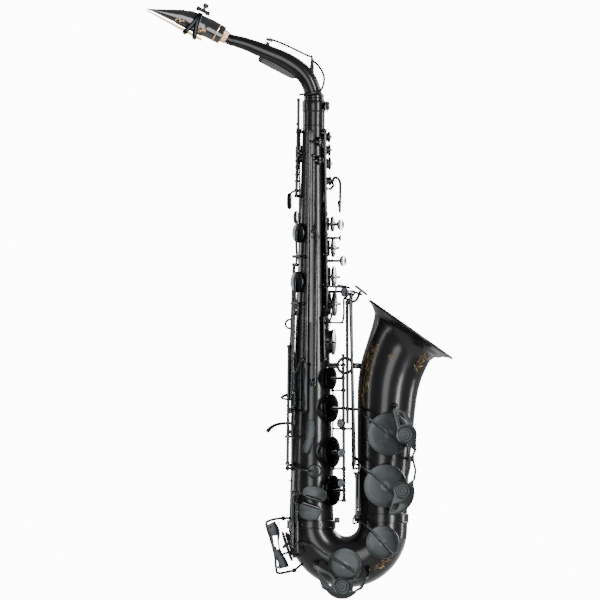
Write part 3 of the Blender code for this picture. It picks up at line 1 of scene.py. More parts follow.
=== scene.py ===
"""Looks of the black alto saxophone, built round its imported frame.

Lengths are millimetres from the body tube's axis, as in the part: x towards the
bell, y away from the right-hand side, z up. An angle round the body tube is 0
facing the right-hand side (-Y), 90 facing the bell (+X) and -90 the player.
"""
import json
import math
import random

import bmesh
import bpy
from mathutils import Matrix, Vector

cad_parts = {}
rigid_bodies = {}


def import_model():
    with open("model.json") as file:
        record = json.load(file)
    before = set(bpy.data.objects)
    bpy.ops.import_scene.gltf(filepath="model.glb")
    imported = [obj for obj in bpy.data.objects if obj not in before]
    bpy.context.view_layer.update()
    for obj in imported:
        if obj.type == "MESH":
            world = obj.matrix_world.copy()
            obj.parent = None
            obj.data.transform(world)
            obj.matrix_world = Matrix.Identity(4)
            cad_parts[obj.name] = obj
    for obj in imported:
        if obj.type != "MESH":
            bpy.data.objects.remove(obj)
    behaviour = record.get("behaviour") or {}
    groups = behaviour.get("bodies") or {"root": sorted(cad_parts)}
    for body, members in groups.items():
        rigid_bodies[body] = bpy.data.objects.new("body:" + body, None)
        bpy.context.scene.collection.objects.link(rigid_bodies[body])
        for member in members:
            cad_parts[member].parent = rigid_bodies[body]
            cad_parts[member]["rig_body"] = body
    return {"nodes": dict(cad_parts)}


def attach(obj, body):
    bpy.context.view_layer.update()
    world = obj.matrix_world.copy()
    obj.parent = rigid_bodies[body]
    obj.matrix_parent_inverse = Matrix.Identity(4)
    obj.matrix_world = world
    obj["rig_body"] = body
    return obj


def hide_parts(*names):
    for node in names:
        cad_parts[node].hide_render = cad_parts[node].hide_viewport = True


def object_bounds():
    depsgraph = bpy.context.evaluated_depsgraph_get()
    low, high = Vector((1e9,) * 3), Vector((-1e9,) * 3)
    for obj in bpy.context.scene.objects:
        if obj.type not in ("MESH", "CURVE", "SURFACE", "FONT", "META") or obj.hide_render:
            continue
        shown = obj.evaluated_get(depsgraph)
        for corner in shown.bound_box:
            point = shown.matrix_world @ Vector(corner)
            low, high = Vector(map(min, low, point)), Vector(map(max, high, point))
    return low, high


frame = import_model()
CAD_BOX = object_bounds()

MM = 0.001
BODY_X = 27.1
BODY_TOP, BODY_BOTTOM = 236.0, -241.8
R_TOP, TAPER, TAPER_FROM = 13.4, 0.02827, 238.8
BOW_X, BOW_Z, BOW_R = 42.8, -242.0, 42.9
BOW_TUBE = (27.1, 30.9, 29.6)
BELL_FOOT = -232.3
BELL = [(85.7, -231.6, 29.4), (85.6, -200.0, 30.1), (85.9, -174.5, 30.9), (87.0, -146.0, 32.6),
    (88.0, -126.5, 33.7), (89.4, -95.0, 35.2), (91.2, -73.9, 36.6), (94.2, -58.0, 37.5),
    (97.6, -46.5, 38.2), (101.7, -35.5, 38.9), (105.8, -25.5, 40.2), (110.3, -17.0, 43.4),
    (114.2, -11.1, 49.4), (117.0, -7.0, 57.6), (117.9, -5.7, 59.6),]
NECK = [(-103.0, 341.8, 6.6), (-96.0, 339.6, 6.9), (-82.0, 335.6, 7.6), (-66.3, 329.8, 8.5),
    (-47.1, 322.2, 9.1), (-31.4, 314.7, 9.8), (-18.2, 305.8, 10.2), (-9.1, 295.9, 10.4),
    (-3.8, 285.8, 10.4), (-1.0, 276.0, 10.5), (0.0, 268.0, 10.6),]
MP_SLOPE = math.radians(28.0)
MP_ORIGIN = (-116.0, 348.7)

UPPER_ROD = ((17.3, -17.6, 18.0), (13.1, -13.3, 233.0))
LOWER_ROD = ((39.1, -7.5, -214.0), (36.7, -7.5, -25.0))
HIGH_E_ROD = ((-7.3, -25.8, -49.0), (-5.1, -18.1, 232.0))
F_SHARP_ROD = ((3.0, -27.6, -73.0), (4.7, -21.9, 105.0))
F_SHARP_CUP_ROD = ((-0.2, -22.3, 109.0), (-0.2, -19.9, 203.0))
TRILL_ROD = ((-29.0, -7.5, -174.0), (-28.1, -7.0, -26.0))
SIDE_BB_ROD = ((-24.4, -13.2, -106.0), (-22.2, -10.6, 13.0))
SIDE_C_ROD = ((-27.8, 5.5, -88.0), (-22.6, 3.0, 72.0))
OCTAVE_ROD = ((-20.4, -3.5, 153.0), (-18.9, -3.5, 231.0))
OCTAVE_LINK_ROD = ((-18.5, 2.0, 234.5), (-18.5, 2.0, 268.0))
G_SHARP_ROD = ((14.6, -21.3, -43.0), (13.4, -20.6, 8.0))
LOW_B_ROD = ((42.7, -12.0, -125.0), (41.1, -12.0, 31.0))
LOW_BB_ROD = ((51.6, -19.5, -168.0), (45.0, -19.5, 31.0))
C_SHARP_ROD = ((54.0, -26.0, -238.5), (54.0, -26.0, -177.0))
C_SHARP_LEVER_ROD = ((50.0, -4.5, -174.0), (46.0, -4.5, 40.0))
LOW_C_ROD = ((-16.6, -28.4, -276.0), (-16.9, -26.8, -198.0))
LOW_EB_ROD = ((-22.8, -24.6, -270.0), (-21.4, -22.6, -201.0))
PALM_RODS = {"palm_f_key": ((-7.0, 19.6, 190.0), (-7.0, 18.4, 231.0)),
    "palm_eb_key": ((1.0, 20.6, 176.0), (1.0, 19.6, 213.0)),
    "palm_d_key": ((8.0, 18.8, 160.0), (8.0, 17.9, 200.0)),}

# tone holes on the body tube: angle, z, bore radius, cup radius
BODY_HOLES = {"palm_f_key": (84, 224.7, 4.3, 6.6), "palm_eb_key": (88, 209.1, 4.8, 7.0),
    "palm_d_key": (92, 192.8, 5.2, 7.6), "high_e_key": (23, 219.0, 3.6, 5.2),
    "high_f_sharp_cup": (22, 196.5, 3.6, 5.2), "front_f_key": (86, 172.0, 3.6, 5.6),
    "b_key": (88, 120.3, 7.0, 9.4), "bis_key": (88, 91.5, 8.6, 11.2), "a_key": (88, 56.7, 10.6, 13.2),
    "g_key": (88, 24.3, 12.0, 14.8), "g_sharp_key": (80, -21.3, 12.8, 15.6),
    "side_c_cup": (-54, 109.3, 9.6, 12.0), "side_bb_cup": (-54, 50.4, 10.2, 12.8),
    "body_octave_key": (-62, 205.0, 1.6, 4.4), "f_sharp_cup": (52, -64.5, 10.8, 13.6),
    "f_key": (52, -100.5, 12.4, 16.8), "e_key": (52, -153.3, 13.0, 18.8), "d_key": (54, -198.9, 13.6, 18.2),
    "trill_key": (10, -176.2, 6.0, 8.4),}
BELL_HOLES = {"low_b_key": (87.8, -131.0, 21.4, 25.8, 10.0), "low_bb_key": (85.6, -193.0, 22.0, 26.0, 7.0),}
LOW_C_HOLE = (41.1, -288.5, 16.5, 20.4)
C_SHARP_HOLE = (85.4, -260.9, 15.8, 20.2)
EB_HOLE_ANGLE = 199.0
EB_BORE, EB_CUP = 15.0, 19.0
RIM_RISE, PAD_GAP, CUP_THICK = 2.6, 0.4, 4.2
TUBE_WALL = 1.0
SEAT = 1.35                          # ribs and post feet stand this far off the body tube
DOWN = (0, -1, 0)                    # out towards the right-hand side
Z = (0, 0, 1)


# ---------------------------------------------------------------- materials
def fresh(name, colour, rough, metal):
    made = bpy.data.materials.new(name)
    made.use_nodes = True
    shader = made.node_tree.nodes["Principled BSDF"]
    shader.inputs["Base Color"].default_value = (*colour, 1.0)
    shader.inputs["Roughness"].default_value = rough
    shader.inputs["Metallic"].default_value = metal
    return made, made.node_tree, shader


def add(tree, kind, inputs=None, **settings):
    made = tree.nodes.new(kind)
    for name, value in settings.items():
        setattr(made, name, value)
    for name, value in (inputs or {}).items():
        made.inputs[name].default_value = value
    return made


def object_coords(tree, stretch=(1, 1, 1)):
    coords = add(tree, "ShaderNodeTexCoord")
    mapping = add(tree, "ShaderNodeMapping", {"Scale": stretch})
    tree.links.new(coords.outputs["Object"], mapping.inputs["Vector"])
    return mapping.outputs["Vector"]


def noise(tree, vector, scale, detail=3.0, rough=0.55):
    made = add(tree, "ShaderNodeTexNoise", {"Scale": scale, "Detail": detail, "Roughness": rough})
    tree.links.new(vector, made.inputs["Vector"])
    return made.outputs["Fac"]


def ramp(tree, source, stops):
    made = add(tree, "ShaderNodeValToRGB")
    band = made.color_ramp
    while len(band.elements) < len(stops):
        band.elements.new(0.5)
    for element, (spot, colour) in zip(band.elements, stops):
        element.position = spot
        element.color = (*colour, 1.0)
    tree.links.new(source, made.inputs["Fac"])
    return made.outputs["Color"]


def spread(tree, source, low, high):
    made = add(tree, "ShaderNodeMapRange", {"From Min": 0.3, "From Max": 0.7, "To Min": low,
        "To Max": high})
    tree.links.new(source, made.inputs["Value"])
    return made.outputs["Result"]


def bumped(tree, shader, source, distance, strength=0.4):
    made = add(tree, "ShaderNodeBump", {"Strength": strength, "Distance": distance})
    tree.links.new(source, made.inputs["Height"])
    tree.links.new(made.outputs["Normal"], shader.inputs["Normal"])


def finish(name, low_colour, high_colour, rough, metal, grain, stretch=(1, 1, 1), bump=0.00002, wear=None,
        strength=0.4, specular=0.5):
    """Coated or plated metal: colour and gloss that wander a little, fine grain, pale worn edges."""
    made, tree, shader = fresh(name, low_colour, sum(rough) / 2, metal)
    shader.inputs["Specular IOR Level"].default_value = specular
    broad = noise(tree, object_coords(tree), 60.0)
    fine = noise(tree, object_coords(tree, stretch), grain, 4.0)
    colour = ramp(tree, broad, [(0.3, low_colour), (0.7, high_colour)])
    if wear is not None:
        edge = add(tree, "ShaderNodeNewGeometry").outputs["Pointiness"]
        worn = ramp(tree, edge, [(0.56, (0, 0, 0)), (0.7, (1, 1, 1))])
        mixed = add(tree, "ShaderNodeMix", data_type="RGBA")
        tree.links.new(worn, mixed.inputs["Factor"])
        tree.links.new(colour, mixed.inputs["A"])
        mixed.inputs["B"].default_value = (*wear, 1.0)
        colour = mixed.outputs["Result"]
    tree.links.new(colour, shader.inputs["Base Color"])
    tree.links.new(spread(tree, fine, *rough), shader.inputs["Roughness"])
    bumped(tree, shader, fine, bump, strength)
    return made


def cane_look():
    made, tree, shader = fresh("cane", (0.75, 0.5, 0.24), 0.55, 0.0)
    lean = add(tree, "ShaderNodeTexCoord")
    turn = add(tree, "ShaderNodeMapping", {"Rotation": (0, MP_SLOPE, 0), "Scale": (8, 300, 60)})
    tree.links.new(lean.outputs["Object"], turn.inputs["Vector"])
    fibre = noise(tree, turn.outputs["Vector"], 12.0, 5.0, 0.6)
    colour = ramp(tree, fibre, [(0.3, (0.52, 0.26, 0.08)), (0.5, (0.78, 0.52, 0.22)),
        (0.75, (0.9, 0.72, 0.42))])
    tree.links.new(colour, shader.inputs["Base Color"])
    bumped(tree, shader, fibre, 0.00005, 0.5)
    return made


def cork_look():
    made, tree, shader = fresh("cork", (0.42, 0.24, 0.13), 0.8, 0.0)
    where = object_coords(tree)
    cells = add(tree, "ShaderNodeTexVoronoi", {"Scale": 480.0})
    tree.links.new(where, cells.inputs["Vector"])
    flecks = noise(tree, where, 420.0, 5.0, 0.7)
    colour = ramp(tree, flecks, [(0.35, (0.10, 0.045, 0.02)), (0.48, (0.36, 0.19, 0.09)),
        (0.6, (0.58, 0.38, 0.22)), (0.72, (0.8, 0.66, 0.48))])
    tree.links.new(colour, shader.inputs["Base Color"])
    bumped(tree, shader, cells.outputs["Distance"], 0.0001, 0.6)
    return made


def soft_look(name, low, high, rough, scale, bump):
    made, tree, shader = fresh(name, low, rough, 0.0)
    grain = noise(tree, object_coords(tree), scale, 6.0, 0.65)
    tree.links.new(ramp(tree, grain, [(0.3, low), (0.7, high)]), shader.inputs["Base Color"])
    bumped(tree, shader, grain, bump, 0.7)
    return made


def pearl_look():
    made, tree, shader = fresh("black_pearl", (0.03, 0.03, 0.035), 0.12, 0.3)
    shader.inputs["Coat Weight"].default_value = 0.8
    sheen = noise(tree, object_coords(tree, (1, 1, 3)), 260.0, 4.0)
    colour = ramp(tree, sheen, [(0.3, (0.012, 0.013, 0.016)), (0.55, (0.05, 0.055, 0.06)),
        (0.75, (0.11, 0.10, 0.12))])
    tree.links.new(colour, shader.inputs["Base Color"])
    return made


LACQUER = finish("black_lacquer", (0.0014, 0.0014, 0.0017), (0.0026, 0.0026, 0.0029), (0.20, 0.26), 0.0,
    900.0, bump=0.000003, wear=(0.012, 0.0115, 0.011), strength=0.1, specular=0.14)
SATIN = finish("satin_keys", (0.011, 0.0124, 0.0126), (0.017, 0.0189, 0.0191), (0.26, 0.36), 1.0, 500.0,
    stretch=(1, 1, 4), bump=0.000005, wear=(0.06, 0.064, 0.064), strength=0.2)
# The key metal again, glossier and with a darker base colour. The darker colour is painted shade for keys
# turned away from the light, set against the lighter SATIN on keys that face it.
GLOSS_PAINTED_SHADE = finish("gloss_keys_painted_shade", (0.006, 0.0066, 0.007), (0.010, 0.011, 0.012), (0.14, 0.22), 1.0, 500.0,
    bump=0.000005, wear=(0.04, 0.042, 0.043), strength=0.1)
NICKEL = finish("black_nickel", (0.014, 0.0145, 0.015), (0.024, 0.0245, 0.025), (0.12, 0.20), 1.0, 700.0,
    wear=(0.06, 0.06, 0.06))
EBONITE = finish("ebonite", (0.004, 0.004, 0.0045), (0.007, 0.007, 0.0075), (0.07, 0.14), 0.0, 600.0,
    bump=0.00001, strength=0.2, specular=0.4)
GOLD = finish("gold_trim", (0.42, 0.27, 0.10), (0.75, 0.55, 0.28), (0.2, 0.4), 1.0, 800.0)
ETCH = finish("etched_brass", (0.055, 0.038, 0.016), (0.13, 0.09, 0.042), (0.3, 0.5), 1.0, 700.0)
CANE = cane_look()
CORK = cork_look()
LEATHER = soft_look("pad_leather", (0.42, 0.22, 0.15), (0.62, 0.40, 0.30), 0.55, 900.0, 0.00008)
FELT = soft_look("felt", (0.012, 0.012, 0.012), (0.05, 0.05, 0.05), 0.95, 2200.0, 0.0002)
PEARL = pearl_look()


# ---------------------------------------------------------------- mesh making
def circle(sides):
    return [polar(1, 2 * math.pi * step / sides) for step in range(sides)]


def smooth_path(points, steps, closed=False):
    """Catmull-Rom curve through the points."""
    spots = [Vector(point) for point in points]
    count = len(spots)
    if count < 3 and not closed:
        return spots
    made = []
    for index in range(count if closed else count - 1):
        if closed:
            before, start, end, after = (spots[(index + shift) % count] for shift in (-1, 0, 1, 2))
        else:
            start, end = spots[index], spots[index + 1]
            before = spots[index - 1] if index else start * 2 - end
            after = spots[index + 2] if index + 2 < count else end * 2 - start
        for step in range(steps):
            t = step / steps
            made.append(0.5 * (2 * start + (end - before) * t
                + (2 * before - 5 * start + 4 * end - after) * t * t
                + (3 * start - before - 3 * end + after) * t ** 3))
    if not closed:
        made.append(spots[-1])
    return made


class Shape:
    """Closed skins gathered into one mesh."""

    def __init__(self):
        self.verts, self.faces = [], []

    def rings(self, rings, loop=False):
        base, count, size = len(self.verts), len(rings), len(rings[0])
        for ring in rings:
            self.verts.extend(ring)
        for row in range(count if loop else count - 1):
            low, high = base + row * size, base + (row + 1) % count * size
            for step in range(size):
                after = (step + 1) % size
                self.faces.append((low + step, low + after, high + after, high + step))
        if not loop:
            self.faces.append(tuple(base + step for step in reversed(range(size))))
            self.faces.append(tuple(base + (count - 1) * size + step for step in range(size)))
        return self

    def turned(self, base, axis, profile, sides=32, loop=False):
        """(radius, height) pairs spun about an axis; `loop` joins the last pair to the first."""
        up = Vector(axis).normalized()
        side = up.orthogonal().normalized()
        other = up.cross(side)
        return self.rings([[Vector(base) + up * height + (side * cos + other * sin) * radius for cos,
            sin in circle(sides)] for radius, height in profile], loop)

    def rod(self, start, end, radius, sides=16, edge=0.2):
        """Straight round bar with eased ends."""
        axis = Vector(end) - Vector(start)
        long = axis.length
        return self.turned(start, axis, [(radius - edge, 0), (radius, edge), (radius, long - edge),
            (radius - edge, long)], sides)

    def wire(self, points, width, height=None, face=None, closed=False, sides=12, steps=6, ends=(1.0, 1.0)):
        """Bent bar through the points, `width` by `height` in radius, its height towards `face`."""
        path = smooth_path(points, steps, closed)
        tall = width if height is None else height
        count = len(path)
        rings = []
        normal = None
        for index, spot in enumerate(path):
            after = path[(index + 1) % count] if closed or index + 1 < count else spot
            before = path[index - 1] if closed or index else spot
            along_path = (after - before).normalized()
            if face is not None:
                normal = Vector(face)
            elif normal is None:
                normal = along_path.orthogonal()
            normal = (normal - along_path * normal.dot(along_path)).normalized()
            side = along_path.cross(normal)
            share = ends[0] + (ends[1] - ends[0]) * index / max(count - 1, 1)
            ring = [side * (cos * width * share) + normal * (sin * tall * share) for cos,
                sin in circle(sides)]
            if closed:
                rings.append([spot + point for point in ring])
                continue
            if index == 0:
                rings += [[spot - along_path * (tall * share * math.sin(turn)) + point * math.cos(turn)
                    for point in ring] for turn in (1.3, 0.85, 0.4)]
            rings.append([spot + point for point in ring])
            if index == count - 1:
                rings += [[spot + along_path * (tall * share * math.sin(turn)) + point * math.cos(turn)
                    for point in ring] for turn in (0.4, 0.85, 1.3)]
        return self.rings(rings, closed)

    def slab(self, outline, centre, normal, up, thick, edge=0.5, crown=0.0):
        """Flat outline with eased edges and a crowned outer face."""
        face = Vector(normal).normalized()
        side = Vector(up).cross(face).normalized()
        rise = face.cross(side)
        middle = sum((Vector(point) for point in outline), Vector((0, 0))) / len(outline)
        half = thick / 2
        rings = []

        def level(shrink, height, scale=1.0):
            ring = []
            for point in outline:
                arm = Vector(point) - middle
                flat = middle + arm * scale * max(1 - shrink / arm.length, 0.05)
                ring.append(Vector(centre) + side * flat.x + rise * flat.y + face * height)
            rings.append(ring)

        for shrink, height in ((edge, -half), (edge * 0.3, -half + edge * 0.3), (0, -half + edge),
                (0, half - edge), (edge * 0.3, half - edge * 0.3), (edge, half)):
            level(shrink, height)
        for scale in (0.75, 0.45, 0.15):
            level(edge, half + crown * (1 - scale * scale), scale)
        return self.rings(rings)

    def plate(self, outline, centre, normal, up, thick, windows=(), edge=0.4):
        """Flat plate of any outline with eased edges, pierced by its windows."""
        data = bpy.data.curves.new("outline", "CURVE")
        data.dimensions = "2D"
        data.fill_mode = "BOTH"
        data.extrude = thick / 2 - edge
        data.bevel_depth, data.bevel_resolution, data.offset = edge, 2, -edge
        for loop in (outline, *windows):
            spline = data.splines.new("POLY")
            spline.points.add(len(loop) - 1)
            for spot, point in zip(spline.points, loop):
                spot.co = (point[0], point[1], 0.0, 1.0)
            spline.use_cyclic_u = True
        guide = bpy.data.objects.new("outline", data)
        bpy.context.scene.collection.objects.link(guide)
        bpy.context.view_layer.update()
        mesh = bpy.data.meshes.new_from_object(guide.evaluated_get(bpy.context.evaluated_depsgraph_get()))
        bpy.data.objects.remove(guide, do_unlink=True)
        face = Vector(normal).normalized()
        side = Vector(up).cross(face).normalized()
        turn = Matrix((side, face.cross(side), face)).transposed()
        base = len(self.verts)
        self.verts.extend(Vector(centre) + turn @ vert.co for vert in mesh.vertices)
        self.faces.extend(tuple(base + corner for corner in face.vertices) for face in mesh.polygons)
        bpy.data.meshes.remove(mesh)
        return self

    def bar(self, start, end, width, thick, out, edge=0.4):
        """Flat strap between two points, its face square to `out`."""
        low, high = Vector(start), Vector(end)
        return self.slab(rounded(width, (high - low).length, min(width, thick) * 0.35), (low + high) / 2,
            out, high - low, thick, edge)

    def made(self, name, look, node, swing=None, cuts=None, angle=35):
        """Turn the skins into a piece that rides with a CAD node and stands for it."""
        mesh = bpy.data.meshes.new(name)
        mesh.from_pydata([place(spot) for spot in self.verts], [], self.faces)
        clean(mesh)
        if cuts is not None:
            mesh = carved(mesh, cuts)
        if swing is not None:
            low, high = place(swing[0]), place(swing[1])
            turn = Matrix.Rotation(math.radians(swing[2]), 4, (high - low).normalized())
            mesh.transform(Matrix.Translation(low) @ turn @ Matrix.Translation(-low))
        mesh.materials.clear()
        mesh.materials.append(look)
        mesh.shade_smooth()
        mesh.set_sharp_from_angle(angle=math.radians(angle))
        piece = bpy.data.objects.new(name, mesh)
        bpy.context.scene.collection.objects.link(piece)
        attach(piece, frame["nodes"][node]["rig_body"])
        if node not in STOOD_FOR:
            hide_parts(node)
            STOOD_FOR.add(node)
        return piece


STOOD_FOR = set()


def place(spot):
    return (Vector(spot) + Vector((BODY_X, 0, 0))) * MM


def clean(mesh):
    shape = bmesh.new()
    shape.from_mesh(mesh)
    bmesh.ops.remove_doubles(shape, verts=shape.verts, dist=1e-7)
    bmesh.ops.dissolve_degenerate(shape, edges=shape.edges, dist=1e-7)
    bmesh.ops.recalc_face_normals(shape, faces=shape.faces)
    shape.to_mesh(mesh)
    shape.free()


def carved(mesh, cuts):
    """Cut one gathered Shape out of a mesh."""
    tool = bpy.data.meshes.new("tool")
    tool.from_pydata([place(spot) for spot in cuts.verts], [], cuts.faces)
    clean(tool)
    base, cutter = bpy.data.objects.new("base", mesh), bpy.data.objects.new("cutter", tool)
    for loose in (base, cutter):
        bpy.context.scene.collection.objects.link(loose)
    step = base.modifiers.new("cut", "BOOLEAN")
    step.operation = "DIFFERENCE"
    step.object = cutter
    bpy.context.view_layer.update()
    result = bpy.data.meshes.new_from_object(base.evaluated_get(bpy.context.evaluated_depsgraph_get()))
    for loose in (base, cutter):
        bpy.data.objects.remove(loose, do_unlink=True)
    return result


def polar(radius, turn, centre=(0, 0)):
    return centre[0] + radius * math.cos(turn), centre[1] + radius * math.sin(turn)


def stadium(width, length, steps=10):
    radius = width / 2
    reach = length / 2 - radius
    return [polar(radius, start + math.pi * step / steps, (0, end * reach)) for end,
        start in ((1, 0.0), (-1, math.pi)) for step in range(steps + 1)]


def rounded(width, length, radius, steps=4):
    """Rectangle with round corners."""
    made = []
    for quarter, (way_x, way_y) in enumerate(((1, 1), (-1, 1), (-1, -1), (1, -1))):
        for step in range(steps + 1):
            made.append(polar(radius, math.pi / 2 * (quarter + step / steps), (way_x * (width / 2 - radius),
                way_y * (length / 2 - radius))))
    return made


def arc(centre, radius, first, last, steps=14):
    return [polar(radius, math.radians(first + (last - first) * step / steps), centre)
        for step in range(steps + 1)]


def strap_outline(stations, steps=5):
    """Outline of a bent strap from its centreline and half widths."""
    path = smooth_path(stations, steps)
    left, right = [], []
    for index, (x, y, half) in enumerate(path):
        before, after = path[max(index - 1, 0)], path[min(index + 1, len(path) - 1)]
        run = Vector((after.x - before.x, after.y - before.y)).normalized()
        left.append((x - run.y * half, y + run.x * half))
        right.append((x + run.y * half, y - run.x * half))
    return left + right[::-1]


def soft_corners(corners, radius, steps=4):
    """Polygon with its corners rounded off."""
    made = []
    count = len(corners)
    for index in range(count):
        spot = Vector(corners[index])
        before = (Vector(corners[index - 1]) - spot).normalized()
        after = (Vector(corners[(index + 1) % count]) - spot).normalized()
        start, end = spot + before * radius, spot + after * radius
        for step in range(steps + 1):
            t = step / steps
            made.append(tuple(start * (1 - t) ** 2 + spot * 2 * t * (1 - t) + end * t * t))
    return made


# ---------------------------------------------------------------- places on the tubes
def body_radius(z):
    return R_TOP + TAPER * (TAPER_FROM - z)


def normal_at(angle):
    turn = math.radians(angle)
    return Vector((math.sin(turn), -math.cos(turn), 0.0))


def on_body(angle, rise, z):
    out = normal_at(angle) * (body_radius(z) + rise)
    return Vector((out.x, out.y, z))


def along(rod, z):
    low, high = Vector(rod[0]), Vector(rod[1])
    return low.lerp(high, (z - low.z) / (high.z - low.z))


def bell_radius(z):
    for (_, low, start), (_, high, end) in zip(BELL, BELL[1:]):
        if low <= z <= high:
            return start + (end - start) * (z - low) / (high - low)
    return BELL[0][2]


def bow_radius(angle):
    share = (angle - 180.0) / 180.0
    start, middle, end = BOW_TUBE
    curve = start + end - 2 * middle
    return start + (4 * middle - 3 * start - end) * share + 2 * curve * share * share


def hole_frame(name):
    """Axis point, outward normal, tube's own direction, tube radius, bore and cup radius of a tone hole."""
    if name in BODY_HOLES:
        angle, z, bore, cup = BODY_HOLES[name]
        return Vector((0, 0, z)), normal_at(angle), Vector(Z), body_radius(z), bore, cup
    if name in BELL_HOLES:
        x, z, bore, cup, turned = BELL_HOLES[name]
        return Vector((x, 0, z)), normal_at(turned), Vector((0.04, 0, 1)), bell_radius(z), bore, cup
    if name == "low_c_key":
        x, z, bore, cup = LOW_C_HOLE
        return Vector((x, 0, z)), normal_at(0), Vector((1, 0, 0)), bow_radius(270), bore, cup
    if name == "low_c_sharp_key":
        x, z, bore, cup = C_SHARP_HOLE
        return Vector((x, 0, z)), normal_at(0), Vector((0.42, 0, 0.9)), bow_radius(335), bore, cup
    turn = math.radians(EB_HOLE_ANGLE)
    out = Vector((math.cos(turn), 0, math.sin(turn)))
    middle = Vector((BOW_X, 0, BOW_Z)) + out * BOW_R
    return middle, out, Vector((-out.z, 0, out.x)), bow_radius(EB_HOLE_ANGLE), EB_BORE, EB_CUP


def spot_on(name, distance, across=(0, 0, 0)):
    middle, out = hole_frame(name)[:2]
    return middle + out * distance + Vector(across)


def cup_low(name):
    return hole_frame(name)[3] + RIM_RISE + PAD_GAP


def cup_top(name, beyond=0.0, across=(0, 0, 0)):
    return spot_on(name, cup_low(name) + CUP_THICK + beyond, across)


def chimney(shape, name, sides):
    """Drawn tone hole: a flared foot that follows the tube, and a rolled rim."""
    middle, out, along_tube, tube, bore, _ = hole_frame(name)
    forward = (along_tube - out * along_tube.dot(out)).normalized()
    side = out.cross(forward)
    rim = tube + RIM_RISE

    def ring(radius, rise=None, height=None):
        made = []
        for cos, sin in circle(sides):
            skin = math.sqrt(max(tube * tube - (radius * sin) ** 2, 1.0))
            level = height if height is not None else min(skin + rise, rim - 0.6)
            made.append(middle + forward * (radius * cos) + side * (radius * sin) + out * level)
        return made

    shape.rings([ring(bore + 2.6, -0.3), ring(bore + 1.7, 0.35), ring(bore + 1.15, 1.1),
        ring(bore + 1.1, height=rim - 0.35), ring(bore + 0.8, height=rim), ring(bore + 0.3, height=rim),
        ring(bore, height=rim - 0.3), ring(bore, -1.3), ring(bore + 1.0, -1.3)], loop=True)


def bore_cuts(names, sides=48):
    """Cutters through the tube wall, hidden inside the chimneys' walls."""
    cuts = Shape()
    for name in names:
        _, _, _, tube, bore, _ = hole_frame(name)
        cuts.rod(spot_on(name, tube * 0.5), spot_on(name, tube + 4.0), bore + 0.5, sides, 0.0)
    return cuts


def tube_skin(shape, sections, wall, sides=96):
    """Hollow tube over (centre, direction, radius) sections."""
    def ring(centre, direction, radius):
        axis = Vector(direction).normalized()
        side = Vector((0, 1, 0))
        other = axis.cross(side).normalized()
        return [Vector(centre) + (side * cos + other * sin) * radius for cos, sin in circle(sides)]

    outer = [ring(*section) for section in sections]
    inner = [ring(centre, direction, radius - wall) for centre, direction, radius in reversed(sections)]
    return shape.rings(outer + inner, loop=True)


def sections_along(stations, steps):
    """Smooth (centre, direction, radius) sections through x, z, radius stations."""
    path = smooth_path(stations, steps)
    made = []
    for index, (x, z, radius) in enumerate(path):
        before, after = path[max(index - 1, 0)], path[min(index + 1, len(path) - 1)]
        made.append((Vector((x, 0, z)),
            Vector((after[0] - before[0], 0, after[1] - before[1])).normalized(), radius))
    return made


# ---------------------------------------------------------------- key parts
def hinge_tube(shape, rod, low, high, radius=1.9):
    """Steel hinge tube with a fine groove near each end."""
    bottom, top = along(rod, low), along(rod, high)
    long = (top - bottom).length
    groove = 2.2 if long > 9 else long * 0.25
    shape.turned(bottom, top - bottom, [(radius - 0.2, 0), (radius, 0.2), (radius, groove),
        (radius - 0.25, groove + 0.15), (radius, groove + 0.3), (radius, long - groove - 0.3),
        (radius - 0.25, long - groove - 0.15), (radius, long - groove), (radius, long - 0.2),
        (radius - 0.2, long)], 24)


def cup(shape, name, lift=0.0, sides=64):
    """Pad cup: rolled lip, a step inside it and a shallow crown."""
    _, out, _, _, _, radius = hole_frame(name)
    bead = min(1.0, radius * 0.09)
    shape.turned(spot_on(name, cup_low(name) + lift), out, [(0.01, 1.2), (radius - 0.8, 1.2),
        (radius - 0.8, 0.35), (radius - 0.45, 0.1), (radius - 0.1, 0.35), (radius, 0.7), (radius, 2.1),
        (radius - 0.2, 2.7), (radius - bead, 3.05), (radius - bead * 1.5, 3.0), (radius - bead * 2, 3.15),
        (radius * 0.7, 3.5), (radius * 0.4, 3.75), (radius * 0.15, 3.85), (0.01, 3.87)], sides)


def pad(name, lift=0.0, sides=48, tall=0.0):
    """Leather pad with its round resonator, seated in the cup; `tall` deepens it."""
    _, out, _, _, _, radius = hole_frame(name)
    shape = Shape()
    shape.turned(spot_on(name, cup_low(name) + lift), out, [(0.01, -0.05), (radius * 0.6, -0.05),
        (radius - 1.5, -0.15), (radius - 0.95, 0.15), (radius - 0.8, 0.6), (radius - 0.8, 1.15 + tall),
        (0.01, 1.15 + tall)], sides)
    return shape


def key_arm(shape, points, width=1.5, height=1.9, face=None, ends=(1.0, 0.8)):
    shape.wire(points, width, height, face, ends=ends, steps=7)


def pearl(metal, inlay, centre, out, radius):
    """Finger button: a dished inlay held in a turned seat."""
    middle, face = Vector(centre), Vector(out).normalized()
    metal.turned(middle - face * 1.4, face, [(0.01, 0), (radius * 0.55, 0), (radius * 0.8, 0.4),
        (radius, 0.9), (radius, 2.1), (radius - 0.25, 2.35), (radius - 0.6, 2.3), (radius - 0.65, 1.7),
        (0.01, 1.7)], 40)
    inlay.turned(middle + face * 0.4, face, [(radius - 0.7, 0), (radius - 0.7, 0.6), (radius - 0.95, 0.85),
        (radius * 0.6, 0.75), (radius * 0.3, 0.65), (0.01, 0.6)], 40)


def foot_arm(shape, rod, z, points, width=1.5):
    """Arm that springs from a collar round the hinge tube at height z."""
    start = along(rod, z)
    axis = (Vector(rod[1]) - Vector(rod[0])).normalized()
    shape.turned(start - axis * 2.0, axis, [(2.0, 0), (2.45, 0.3), (2.45, 3.7), (2.0, 4.0)], 24)
    key_arm(shape, [start, *points], width)


